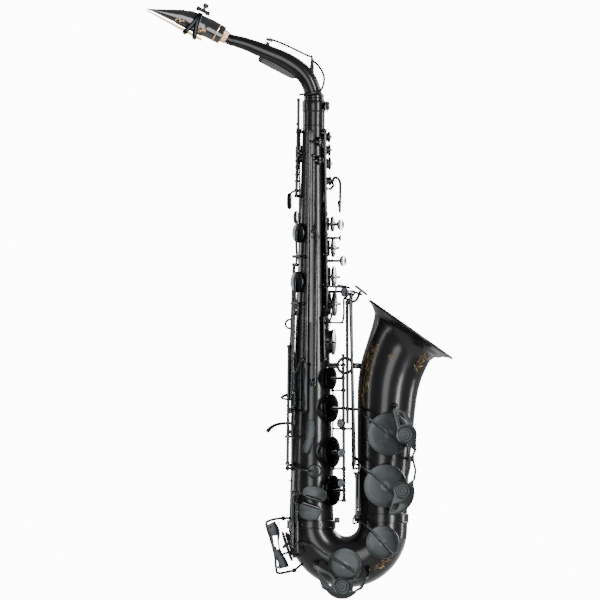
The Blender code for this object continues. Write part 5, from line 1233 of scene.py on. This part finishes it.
def build_mouthpiece():
    sides = 64
    body = Shape()
    turns = [2 * math.pi * step / sides for step in range(sides)]
    first = [mouthpiece_spot((-6.5, 10.4, 10.4, -10.4, 0.0), turn) for turn in turns]
    stations = [section_at(-5.9 + 94.4 * step / 64) for step in range(65)]
    last = list(MP_SECTIONS[-1])
    last[0], last[1], last[2] = last[0] + 0.5, last[1] - 0.4, last[2] - 0.2
    body.rings([first, *[[mouthpiece_spot(section, turn) for turn in turns] for section in stations],
        [mouthpiece_spot(last, turn) for turn in turns]])
    cuts = Shape()
    cuts.rod(along_mouthpiece(-8, 0), along_mouthpiece(48, 0), 8.2, 48, 0.0)
    chamber = [(46, -6), (46, 2), (60, -4), (84.5, -14.2), (84.5, -18), (50, -18), (50, -6)]
    cuts.rings([[along_mouthpiece(reach, rise, across) for reach, rise in chamber]
        for across in (-5.6, 5.6)])
    body.made("mouthpiece_body", EBONITE, "mouthpiece", cuts=cuts)
    ring = Shape()
    section = section_at(1.3)
    points = [mouthpiece_spot(section, 2 * math.pi * step / 72, 0.12) for step in range(72)]
    ring.wire(points, 0.8, closed=True, steps=1, sides=10)
    ring.made("mouthpiece_ring", GOLD, "mouthpiece")

    def skin(across, up):
        section = section_at(27.0 + up)
        return mouthpiece_spot(section, math.radians(205.0 + across * 5.0), 0.02)

    engrave(scrollwork((0, 0), 7.5, 5, 6), lambda across, up: skin(across, up - 3.0), "mouthpiece_scroll",
        "mouthpiece", 0.16)
    engrave(scrollwork((0, 0), 4.0, 12, 4), lambda across, up: skin(across, up + 20.0), "mouthpiece_sprig",
        "mouthpiece", 0.14)
    build_reed()
    build_ligature()


def build_reed():
    heel, tip, half = 13.0, 88.8, 7.2
    rings = []
    for step in range(49):
        reach = heel + (tip - heel) * step / 48
        vamp = max(0.0, (reach - 44.0) / (tip - 44.0))
        back = max(0.0, (reach - (tip - half)) / half)
        width = half * math.sqrt(max(1 - back * back * 0.92, 0.0)) * (1.0 if step else 0.96)
        flat = -14.5 - 1.3 * vamp
        deep = -18.0 + 0.7 * vamp
        ring = []
        for share in [index / 12 * 2 - 1 for index in range(13)]:
            ring.append(along_mouthpiece(reach, flat, share * width))
        for share in [1 - index / 12 * 2 for index in range(13)]:
            bow = (1 - abs(share) ** 2.4)
            edge = flat - 0.35
            ring.append(along_mouthpiece(reach, edge + (deep - edge) * bow, share * width))
        rings.append(ring)
    reed = Shape()
    reed.rings(rings)
    reed.made("cane_reed", CANE, "reed", angle=50)


def build_ligature():
    strap = Shape()

    def spot(reach, turn, grow):
        section = list(section_at(reach))
        section[3], section[4] = -18.6, 0.6
        return mouthpiece_spot(section, turn, grow)

    def band_strip(points, width, thick=1.2):
        """Strap over the mouthpiece through (reach, angle) points."""
        path = [(reach, math.radians(angle)) for reach, angle in points]
        smooth = smooth_path([(reach, turn, 0) for reach, turn in path], 8)
        rings = []
        for index, point in enumerate(smooth):
            after, before = smooth[min(index + 1, len(smooth) - 1)], smooth[max(index - 1, 0)]
            run = Vector((after.x - before.x, (after.y - before.y) * 12.0)).normalized()
            side = Vector((-run.y, run.x / 12.0))
            ring = []
            for across, rise in ((-1, 0), (-1, thick * 0.7), (-0.75, thick), (0.75, thick),
                    (1, thick * 0.7), (1, 0)):
                reach = point.x + side.x * across * width / 2
                turn = point.y + side.y * across * width / 2
                ring.append(spot(reach, turn, 0.7 + rise))
            rings.append(ring)
        strap.rings(rings)

    for way in (1, -1):
        def flip(angle, way=way):
            return angle if way == 1 else 180.0 - angle

        band_strip([(29, flip(88)), (28.6, flip(120)), (27.8, flip(150)), (26.0, flip(185)),
            (23.4, flip(215)), (22.0, flip(236))], 5.4)
        band_strip([(29, flip(92)), (29.4, flip(125)), (30.2, flip(160)), (32.0, flip(190)),
            (34.2, flip(212)), (35.4, flip(236))], 5.4)
    for reach in (22.0, 35.2):
        band_strip([(reach, angle) for angle in range(225, 316, 9)], 4.6, 1.5)
    for reach in (22, 34):
        strap.rod(along_mouthpiece(reach, 12.2), along_mouthpiece(reach, 15.4), 2.0, 24, 0.3)
    up = along_mouthpiece(0, 1) - along_mouthpiece(0, 0)
    out = along_mouthpiece(1, 0) - along_mouthpiece(0, 0)
    strap.turned(along_mouthpiece(19, 15.2), out, [(1.6, 0), (2.3, 0.6), (2.4, 2.0), (2.2, 7.0),
        (2.2, 11.0), (2.4, 16.0), (2.3, 17.4), (1.6, 18.0)], 32)
    strap.made("ligature_frame", GLOSS_PAINTED_SHADE, "ligature")
    screw = Shape()
    grooves = [(1.6, 4.2), (2.9, 4.4), (3.3, 4.9)]
    for step in range(4):
        low = 5.2 + step * 0.9
        grooves += [(3.4, low), (3.4, low + 0.5), (3.2, low + 0.65)]
    screw.turned(along_mouthpiece(28, 14.9), up, [(0.01, 0.2), (1.5, 0.4), (1.6, 0.8), *grooves, (3.3, 9.2),
        (2.8, 9.9), (0.01, 10.0)], 32)
    screw.made("ligature_knob", NICKEL, "ligature_screw")


# ---------------------------------------------------------------- posts, ribs, guards and fittings
def ball(shape, centre, radius, axis=Z):
    turns = [math.radians(-80 + 20 * step) for step in range(9)]
    shape.turned(centre, axis, [(0.01, -radius), *[polar(radius, turn) for turn in turns], (0.01, radius)],
        24)


def rib(shape, angle, low, high, width=4.0):
    shape.bar(on_body(angle, SEAT, low), on_body(angle, SEAT, high), width, 1.6, normal_at(angle), 0.5)


def hoop(shape, first, last, z, radius=0.9):
    steps = max(2, round(abs(last - first) / 15))
    shape.wire([on_body(first + (last - first) * step / steps, 1.5, z) for step in range(steps + 1)],
        radius, steps=3)


def post(shape, foot, head, axis, ball=2.9):
    """Turned post: flanged foot, waisted stem and a ball on the hinge line."""
    foot, head = Vector(foot), Vector(head)
    up = (head - foot).normalized()
    long = (head - foot).length
    stem = max(long - ball * 0.8, 0.6)
    shape.turned(foot, up, [(2.1, 0), (2.1, 0.5), (1.5, 1.0), (1.05, min(2.0, stem * 0.5)),
        (0.95, stem * 0.7), (1.3, stem)], 20)
    line = Vector(axis).normalized()
    half = ball * 0.72
    profile = [(math.sqrt(ball * ball - level * level), level)
        for level in [half * (step / 6 * 2 - 1) for step in range(7)]]
    shape.turned(head, line, [(0.01, -half), *profile, (0.01, half)], 24)


def body_posts(shape, rod, heights, angle):
    axis = Vector(rod[1]) - Vector(rod[0])
    for z in heights:
        post(shape, on_body(angle, SEAT, z), along(rod, z), axis)


def tip_screw(shape, rod, z, way):
    """Pivot screw's slotted end outside the last post."""
    axis = (Vector(rod[1]) - Vector(rod[0])).normalized() * way
    screw_head(shape, along(rod, z) + axis * 1.9, axis, 1.3, 0.7)


def hinge_ear(shape, angle, z, way):
    out = normal_at(angle)
    side = Vector((-out.y, out.x, 0))
    head = out * (body_radius(z) + 6.0) + side * way * 6.9 + Vector((0, 0, z))
    post(shape, on_body(angle + way * 17, 1.4, z), head, side, 2.1)


def build_posts():
    right = Shape()
    rib(right, 40, 19.5, 134.5)
    body_posts(right, UPPER_ROD, (20.6, 46.75, 83.25, 107.75, 132.2), 42)
    right.bar(on_body(40, 1.4, 133), on_body(52, 1.4, 146), 2.4, 1.6, normal_at(46))
    rib(right, 52, 145.0, 232.5, 2.4)
    body_posts(right, UPPER_ROD, (232.0,), 51)
    right.rod(along(UPPER_ROD, 132.4), along(UPPER_ROD, 232.0), 1.9, 24)
    right.bar(on_body(40, 1.4, 21), on_body(30, 1.4, 6), 3.0, 1.6, normal_at(35))
    rib(right, 30, -43.0, 8.0, 3.0)
    body_posts(right, G_SHARP_ROD, (-42.3, 7.4), 32)
    hoop(right, 40, -6, 107.75)
    rib(right, -6, -73.0, 232.0, 3.0)
    body_posts(right, HIGH_E_ROD, (-48.2, 231.2), -8)
    body_posts(right, F_SHARP_ROD, (-72.2, 104.2), -4)
    body_posts(right, F_SHARP_CUP_ROD, (111.2, 202.3), -5)
    for rod, z, way in ((UPPER_ROD, 232.0, 1), (HIGH_E_ROD, -48.2, -1), (F_SHARP_ROD, -72.2, -1)):
        tip_screw(right, rod, z, way)
    right.made("right_side_ribs", NICKEL, "right_side_posts")

    lower = Shape()
    rib(lower, 96, -213.0, -47.5)
    body_posts(lower, LOWER_ROD, (-48.8, -79.25, -125.25, -173.25, -211.2), 94)
    lower.rod(along(LOWER_ROD, -48.8), along(LOWER_ROD, -38.0), 1.6, 24)
    lower.turned(along(LOWER_ROD, -38.0), Z, [(1.6, 0), (2.2, 0.5), (2.2, 2.0), (1.4, 2.8)], 24)
    lower.rod(along(LOWER_ROD, -125.25), (48.4, -14.0, -125.2), 1.4, 20)
    ball(lower, (48.6, -14.0, -125.2), 2.3)
    lower.turned((42.7, -12.0, -126.4), Z, [(1.6, 0), (2.4, 0.4), (2.4, 1.4), (1.6, 1.8)], 24)
    lower.made("lower_stack_ribs", NICKEL, "lower_stack_posts")

    front = Shape()
    rib(front, -70, -202.0, 26.0)
    rib(front, -84, -190.0, -15.0, 3.0)
    hoop(front, -84, -70, -188.0)
    hoop(front, -84, -70, -17.0)
    body_posts(front, TRILL_ROD, (-173.2, -26.8), -72)
    body_posts(front, SIDE_BB_ROD, (-105.2, 12.2), -68)
    body_posts(front, SIDE_C_ROD, (-87.3,), -73)
    hoop(front, -70, -35, 24.5)
    hoop(front, -70, -34, -200.5)
    for way in (-1, 1):
        hinge_ear(front, -54, 24.5, way)
    post(front, on_body(-42, SEAT, -200.5), along(LOW_EB_ROD, -202.0), Z)
    post(front, on_body(-34, SEAT, -200.5), along(LOW_C_ROD, -215.5), Z)
    tip_screw(front, TRILL_ROD, -173.2, -1)
    front.made("trill_key_ribs", NICKEL, "trill_key_posts")

    player = Shape()
    rib(player, -104, 69.0, 233.5, 3.0)
    body_posts(player, SIDE_C_ROD, (71.3,), -102)
    hoop(player, -104, -38, 81.0)
    body_posts(player, OCTAVE_ROD, (153.6, 195.7, 230.4), -102)
    body_posts(player, OCTAVE_LINK_ROD, (233.0,), -102)
    for way in (-1, 1):
        hinge_ear(player, -54, 81.0, way)
    player.made("player_side_ribs", NICKEL, "player_side_posts")

    palm = Shape()
    rib(palm, 175, 158.0, 233.0)
    heights = {"palm_d_key": (158.9, 201.1), "palm_eb_key": (174.9, 214.1), "palm_f_key": (188.9, 232.1)}
    for name, rod in PALM_RODS.items():
        body_posts(palm, rod, heights[name], 175)
    hoop(palm, 175, 66, 162.5, 0.8)
    for way in (-1, 1):
        post(palm, on_body(88 + way * 18, 1.2, 162.5), (20.4, way * 5.9, 162.5), (0, 1, 0), 2.0)
    palm.made("palm_key_ribs", NICKEL, "palm_key_posts")


def collar(shape, spot):
    """Low boss round the end of a hinge line."""
    shape.turned(spot - Vector((0, 0, 0.8)), Z, [(1.6, 0), (2.3, 0.3), (2.3, 1.3), (1.6, 1.6)], 24)


def build_bell_posts():
    top_b, top_bb, top_cs = along(LOW_B_ROD, 30.2), along(LOW_BB_ROD, 30.2), along(C_SHARP_LEVER_ROD, 39.7)
    near = body_radius(2.0) + 0.8
    upper = Shape()
    upper.bar((near, 0, 2.0), (37.0, 0, 2.0), 5.0, 2.4, Z)
    upper.bar((near + 0.4, 0, -3.5), (near + 0.4, 0, 7.0), 5.0, 1.4, (1, 0, 0))
    upper.wire([(36.0, 0, 2.0), (37.4, -4.0, 12.0), (37.4, -6.0, 30.5), tuple(top_b)], 1.3)
    upper.wire([tuple(top_b), tuple(top_bb)], 1.3)
    upper.wire([(37.4, -6.0, 30.5), (41.5, -4.8, 34.0), (41.8, -4.5, 40.0), tuple(top_cs)], 1.1)
    for spot in (top_b, top_bb, top_cs):
        collar(upper, spot)
    upper.made("bell_key_bracket", NICKEL, "bell_key_posts")

    def skin(z, angle, rise):
        turn = math.radians(angle)
        reach = bell_radius(z) + rise
        return Vector((85.7 - reach * math.cos(turn), -reach * math.sin(turn), z))

    bb_low, lever_low = along(LOW_BB_ROD, -167.3), along(C_SHARP_LEVER_ROD, -173.2)
    cs_high, cs_low = along(C_SHARP_ROD, -177.6), along(C_SHARP_ROD, -237.8)
    side = Shape()
    side.bar(skin(-166, 28, 1.5), skin(-225, 28, 1.5), 4.0, 1.4, skin(0, 28, -60) * -1)
    side.wire([skin(-172, 28, 1.5), (52.5, -9.5, -173.2), lever_low], 1.3)
    side.wire([skin(-169, 28, 1.5), bb_low], 1.3, ends=(1.3, 0.9))
    side.wire([skin(-178, 28, 1.5), cs_high], 1.3, ends=(1.3, 0.9))
    side.wire([skin(-223, 28, 1.5), (51.5, -16.0, -230.0), (50.0, -20.0, -238.2), cs_low], 1.1)
    for spot in (bb_low, lever_low, cs_high, cs_low):
        collar(side, spot)
    side.made("bell_side_bracket", NICKEL, "bell_side_posts")


def bumper(metal, felt, centre, out, radius):
    """Adjustable key stop: stepped rings round a felt."""
    metal.turned(Vector(centre) - Vector(out) * 2.0, out, [(radius - 3.6, 0), (radius - 0.4, 0),
        (radius, 0.5), (radius, 3.0), (radius - 0.7, 3.7), (radius - 1.5, 3.3), (radius - 2.2, 3.3),
        (radius - 2.5, 3.9), (radius - 3.4, 3.9), (radius - 3.6, 3.4)], 64, loop=True)
    metal.turned(Vector(centre) - Vector(out) * 1.6, out, [(2.0, 0), (radius - 4.6, 0), (radius - 4.4, 0.4),
        (radius - 4.4, 2.7), (radius - 5.0, 3.3), (2.6, 3.3), (2.0, 2.6)], 48, loop=True)
    felt.turned(Vector(centre) - Vector(out) * 3.3, out, [(0.01, 0), (radius - 4.4, 0.0),
        (radius - 3.9, 0.5), (radius - 3.9, 3.6), (0.01, 3.6)], 48)


def foot(metal, base, head, size):
    long = (Vector(head) - Vector(base)).length
    metal.turned(base, Vector(head) - Vector(base), [(size * 0.6, 0), (size * 0.85, long * 0.3),
        (size, long * 0.7), (size, long - 0.4), (size - 0.4, long)], 32)


def guard_plate(metal, outline, face, windows=(), thick=2.4):
    metal.plate(outline, (0, face, 0), DOWN, Z, thick, windows)


B_RING, BB_RING, C_RING = (111.4, -131.5), (108.7, -198.6), (36.9, -314.0)
RING_R, PLATE_R = 10.3, 11.0


def bell_guard():
    face = -57.0
    inner, outer = face + 0.15, face - 1.6
    metal, felt = Shape(), Shape()
    for x, z in (B_RING, BB_RING):
        bumper(metal, felt, (x, face, z), DOWN, RING_R)
    guard_plate(metal, [(122.0, -151.0), (125.0, -150.0), *arc(B_RING, 14.3, -15, 48), (113.0, -105.0),
        (106.0, -101.0), (98.0, -99.5), (96.5, -103.0), (100.0, -116.0), *arc(B_RING, PLATE_R, 148, 290)],
        face, [soft_corners([(101.5, -105.5), (107.5, -105.5), (114.0, -118.0), (105.5, -120.0)], 1.2)])
    guard_plate(metal, [(122.5, -184.0), *arc((96.0, -200.0), 27.5, 18, -92), (92.0, -226.5),
        (95.5, -214.5), *arc(BB_RING, PLATE_R, 205, 55), (116.5, -188.5)], face,
        [soft_corners([(99.5, -214.0), (105.5, -214.0), (102.5, -220.5), (97.0, -223.5)], 1.0)])
    metal.wire([(113.3, inner, -140.2), (116.1, inner, -152.7), (117.5, inner, -164.7),
        (116.0, inner, -175.5), (112.7, inner, -187.9)], 1.6, 1.3, DOWN)
    metal.wire([(124.2, inner, -149.3), (120.7, outer, -157.0), (122.0, inner, -164.7),
        (124.0, inner, -174.3), (122.6, inner, -185.5)], 1.4, 1.2, DOWN)
    metal.wire([(120.6, face, -158.0), (121.0, -30.0, -160.6), (120.2, -12.0, -161.0)], 1.8)
    metal.wire([(117.4, inner, -160.5), (120.6, inner, -158.6)], 1.4)
    ball(metal, (120.6, face, -157.8), 2.3)
    metal.wire([(99.2, face, -102.0), (99.4, -50.0, -98.0), (99.4, -36.0, -97.2)], 2.0, 1.6)
    metal.wire([(94.4, face, -226.4), (95.0, -48.0, -225.4), (95.4, -34.0, -223.2)], 2.0, 1.6)
    foot(metal, (99.4, -40.0, -97.2), (99.3, -34.6, -97.2), 3.6)
    foot(metal, (122.6, -12.2, -161.0), (118.8, -11.4, -161.0), 3.4)
    foot(metal, (95.4, -36.0, -223.2), (95.2, -29.4, -223.2), 3.0)
    metal.made("bell_guard_frame", SATIN, "bell_key_guard")
    felt.made("bell_guard_felts", FELT, "bell_key_guard")


def low_c_guard():
    face = -53.0
    metal, felt = Shape(), Shape()
    bumper(metal, felt, (C_RING[0], face, C_RING[1]), DOWN, RING_R)
    guard_plate(metal, [(2.5, -291.5), (6.0, -294.0), (13.0, -316.0), *arc((37.0, -306.0), 22.8, 215, 325),
        (62.0, -316.5), (66.0, -305.5), (65.0, -302.0), (50.8, -305.0), *arc(C_RING, PLATE_R, 50, 130),
        (23.0, -297.0), (14.0, -292.5), (7.5, -288.5), (3.0, -288.0)], face,
        [soft_corners([(10.0, -296.5), (20.5, -299.5), (25.5, -305.0), (23.5, -313.0), (17.5, -307.5)],
        1.0), soft_corners([(51.0, -309.5), (60.5, -307.0), (59.0, -313.5), (50.5, -319.0)], 1.0)])
    metal.wire([(4.8, -33.0, -287.2), (4.4, -46.0, -288.6), (5.0, face, -290.4)], 1.7)
    metal.wire([(64.6, face, -304.0), (68.0, -46.0, -301.0), (69.0, -34.0, -296.0)], 1.7)
    foot(metal, (5.0, -35.0, -287.0), (5.2, -28.4, -286.2), 3.2)
    foot(metal, (69.0, -35.5, -296.0), (68.2, -30.8, -292.2), 3.2)
    metal.made("low_c_guard_frame", SATIN, "low_c_guard")
    felt.made("low_c_guard_felt", FELT, "low_c_guard")


def low_eb_guard():
    out, front = hole_frame("low_eb_key")[1], -21.6
    metal, felt = Shape(), Shape()
    bumper(metal, felt, cup_top("low_eb_key", 13.4), out, 8.6)
    metal.wire([(-27.4, 0, -232.9), (-38.2, 0, -233.2), (-50.0, 0, -236.0), (-54.1, 0, -240.4),
        (-48.5, 0, -258.7), (-43.5, 0, -277.6), (-42.0, 0, -292.0), (-39.4, 0, -299.0), (-25.6, 0, -296.8),
        (-20.7, 0, -295.7), (-12.4, 0, -289.0)], 1.6, 1.6)
    ball(metal, (-33.6, 0.2, -233.2), 2.9)
    ball(metal, (-20.2, 0.2, -295.4), 2.9)
    guard_plate(metal, strap_outline([(-48.5, -238.5, 5.5), (-43.5, -249.5, 6.0), (-43.0, -262.0, 4.6),
        (-39.5, -275.0, 4.6), (-34.5, -284.5, 5.5), (-32.5, -292.5, 6.5)]), front,
        [strap_outline([(-43.5, -254.0, 2.4), (-42.6, -262.0, 2.2), (-40.6, -270.0, 2.0)])], 1.8)
    for points in (((-48.6, front, -243.4), (-52.4, -9.0, -241.8), (-53.2, 0.4, -241.6)),
            ((-36.4, front, -290.4), (-40.6, -9.0, -292.0), (-42.0, 0.4, -290.6)), ((-36.2, front, -276.4),
            (-31.0, -26.5, -274.8), (-27.0, -27.5, -273.6), (-22.8, -24.6, -271.4)),
            ((-27.0, -27.5, -273.6), (-20.0, -30.0, -277.0), (-16.6, -28.4, -277.3))):
        metal.wire(points, 1.4)
    foot(metal, (-22.8, -24.6, -270.4), (-22.8, -24.6, -272.3), 2.4)
    foot(metal, (-16.6, -28.4, -276.3), (-16.6, -28.4, -278.2), 2.4)
    metal.made("low_eb_guard_frame", GLOSS_PAINTED_SHADE, "low_eb_guard")
    felt.made("low_eb_guard_felt", FELT, "low_eb_guard")


def build_fittings():
    ring = Shape()
    circle_points = [(-27.1 + 5.3 * cos, 0, 5.3 * sin) for cos, sin in circle(24)]
    ring.wire(circle_points, 1.35, closed=True, steps=3, sides=16)
    ring.bar((-22.3, 0, -4.5), (-22.3, 0, 4.5), 3.0, 2.4, (1, 0, 0))
    ring.slab(stadium(7.0, 26.0), (-21.15, 0, 0), (-1, 0, 0), Z, 1.2, 0.4)
    for z in (-9.5, 9.5):
        screw_head(ring, (-21.6, 0, z), (-1, 0, 0), 1.5, 0.6)
    ring.made("strap_eye", NICKEL, "strap_ring")
    slope = body_radius(-122)
    hook = Shape()
    hook.slab(rounded(9.0, 24.0, 2.5), (-(slope + 1.25), 4.0, -122.0), (-1, 0, 0), Z, 1.5, 0.4)
    hook.wire([(-slope - 1.5, 4.0, -119.0), (-34.0, 4.0, -119.2), (-43.0, 4.0, -121.0),
        (-49.0, 4.0, -124.4), (-53.2, 4.0, -128.6)], 4.4, 1.6, (-0.1, -0.3, 1), steps=10, ends=(0.8, 1.1),
        sides=20)
    screw_head(hook, (-slope - 2.0, 4.0, -129.5), (-1, 0, 0), 2.6, 1.2)
    hook.made("thumb_hook_leaf", GLOSS_PAINTED_SHADE, "thumb_hook")
    rest = Shape()
    start = Vector((-(body_radius(128) + 2.6), 5.0, 128.0))
    rest.turned(start, Vector((-3.8, 1.0, 0)), [(0.01, 0), (7.6, 0), (8.4, 0.4), (8.5, 1.0), (7.9, 2.4),
        (6.9, 3.3), (5.5, 3.7), (0.01, 3.75)], 48)
    rest.made("thumb_rest_button", EBONITE, "thumb_rest")
    brace = Shape()
    circle_points = [(39.5 + 9.0 * cos, 12.0, -49.5 + 9.0 * sin) for cos, sin in circle(28)]
    brace.wire(circle_points, 1.9, 2.1, (0, 1, 0), closed=True, steps=3, sides=16)
    brace.bar((31.0, 12.0, -49.5), (20.6, 12.0, -49.5), 7.0, 3.0, (0, 1, 0))
    brace.slab(rounded(5.0, 13.0, 1.6), (19.4, 12.6, -49.5), (0.85, 0.52, 0), Z, 1.6, 0.4)
    brace.bar((48.0, 12.0, -49.5), (58.2, 12.0, -49.5), 7.0, 3.0, (0, 1, 0))
    for x in (27.0, 52.0):
        screw_head(brace, (x, 10.6, -49.5), DOWN, 1.6, 0.8)
    brace.made("bell_brace_ring", NICKEL, "bell_brace")


# ---------------------------------------------------------------- stage
def stage_material(name, colour, rough):
    made, tree, shader = fresh(name, colour, rough, 0.0)
    grain = noise(tree, object_coords(tree), 3.0)
    tone = ramp(tree, grain, [(0.3, colour), (0.7, tuple(part * 0.99 for part in colour))])
    tree.links.new(tone, shader.inputs["Base Color"])
    return made


def softbox(name, spot, aim, size, power):
    data = bpy.data.lights.new(name, "AREA")
    data.shape = "RECTANGLE"
    data.size, data.size_y = size
    data.energy = power
    lamp = bpy.data.objects.new(name, data)
    lamp.location = spot
    lamp.rotation_euler = (Vector(aim) - Vector(spot)).to_track_quat("-Z", "Y").to_euler()
    bpy.context.scene.collection.objects.link(lamp)


def flat_sheet(name, size, look):
    shape = bmesh.new()
    bmesh.ops.create_grid(shape, x_segments=8, y_segments=8, size=size)
    mesh = bpy.data.meshes.new(name)
    shape.to_mesh(mesh)
    shape.free()
    mesh.materials.append(look)
    sheet = bpy.data.objects.new(name, mesh)
    bpy.context.scene.collection.objects.link(sheet)
    return sheet


WORLD_STRENGTH = 0.6
FLOOR_HALF, FLOOR_DROP = 0.62, 0.024
BACKDROP_HALF, BACKDROP_AWAY, BACKDROP_GLOW = 2.4, 25.0, 12.0
LAMP_AWAY, LAMP_TALL = 2.2, 1.9
# name, bearing from the camera, width, height above the horn's middle, power
LAMPS = (("key_light", 44.0, 0.26, 0.3, 170.0), ("front_light", -6.0, 0.8, 0.2, 74.0),
    ("side_light", -74.0, 0.12, 0.3, 26.0), ("dome_light", 104.0, 0.16, 0.3, 60.0),
    ("back_light", 150.0, 0.5, 0.9, 50.0), ("player_light", -120.0, 0.4, 0.4, 40.0),)


def build_stage():
    floor = flat_sheet("floor", FLOOR_HALF, stage_material("pale_floor", (0.86, 0.86, 0.86), 0.9))
    floor.location = (0, 0, CAD_BOX[0][2] - FLOOR_DROP)
    white = stage_material("white_paper", (0.9, 0.9, 0.9), 0.9)
    shader = white.node_tree.nodes["Principled BSDF"]
    shader.inputs["Emission Color"].default_value = (1, 1, 1, 1)
    shader.inputs["Emission Strength"].default_value = BACKDROP_GLOW
    backdrop = flat_sheet("backdrop", BACKDROP_HALF, white)
    backdrop.matrix_world = Matrix.Translation((0, BACKDROP_AWAY, 0)) @ Matrix.Rotation(math.pi / 2, 4, "X")
    world = bpy.data.worlds.new("studio")
    bpy.context.scene.world = world
    world.use_nodes = True
    world.node_tree.nodes["Background"].inputs["Color"].default_value = (1, 1, 1, 1)
    world.node_tree.nodes["Background"].inputs["Strength"].default_value = WORLD_STRENGTH
    for name, bearing, width, rise, power in LAMPS:
        turn = math.radians(bearing)
        spot = Vector((math.sin(turn), -math.cos(turn), 0)) * LAMP_AWAY + Vector((0, 0, rise))
        softbox(name, spot, (0, 0, rise * 0.2), (width, LAMP_TALL), power)


def build_camera():
    """Long lens square to the horn's right-hand side, rolled a little as the horn leans in its view."""
    distance, span, roll = 20.0, 0.72, math.radians(0.356)
    data = bpy.data.cameras.new("camera")
    data.sensor_width = 36.0
    data.lens = 36.0 * distance / span
    data.clip_end = 80.0
    camera = bpy.data.objects.new("camera", data)
    right = Vector((math.cos(roll), 0, math.sin(roll)))
    up = Vector((-math.sin(roll), 0, math.cos(roll)))
    back = right.cross(up)
    spot = Vector((0.01185, -distance, 0.0289))
    camera.matrix_world = Matrix((right, up, back)).transposed().to_4x4()
    camera.location = spot
    bpy.context.scene.collection.objects.link(camera)
    bpy.context.scene.camera = camera


build_camera()
build_tubes()
build_engraving()
build_ferrules()
build_neck()
build_mouthpiece()
build_stacks()
build_side_keys()
build_palm_keys()
build_octave_mechanism()
build_bell_keys()
build_pinky_keys()
build_posts()
build_bell_posts()
bell_guard()
low_c_guard()
low_eb_guard()
build_fittings()
build_stage()

bpy.context.view_layer.update()
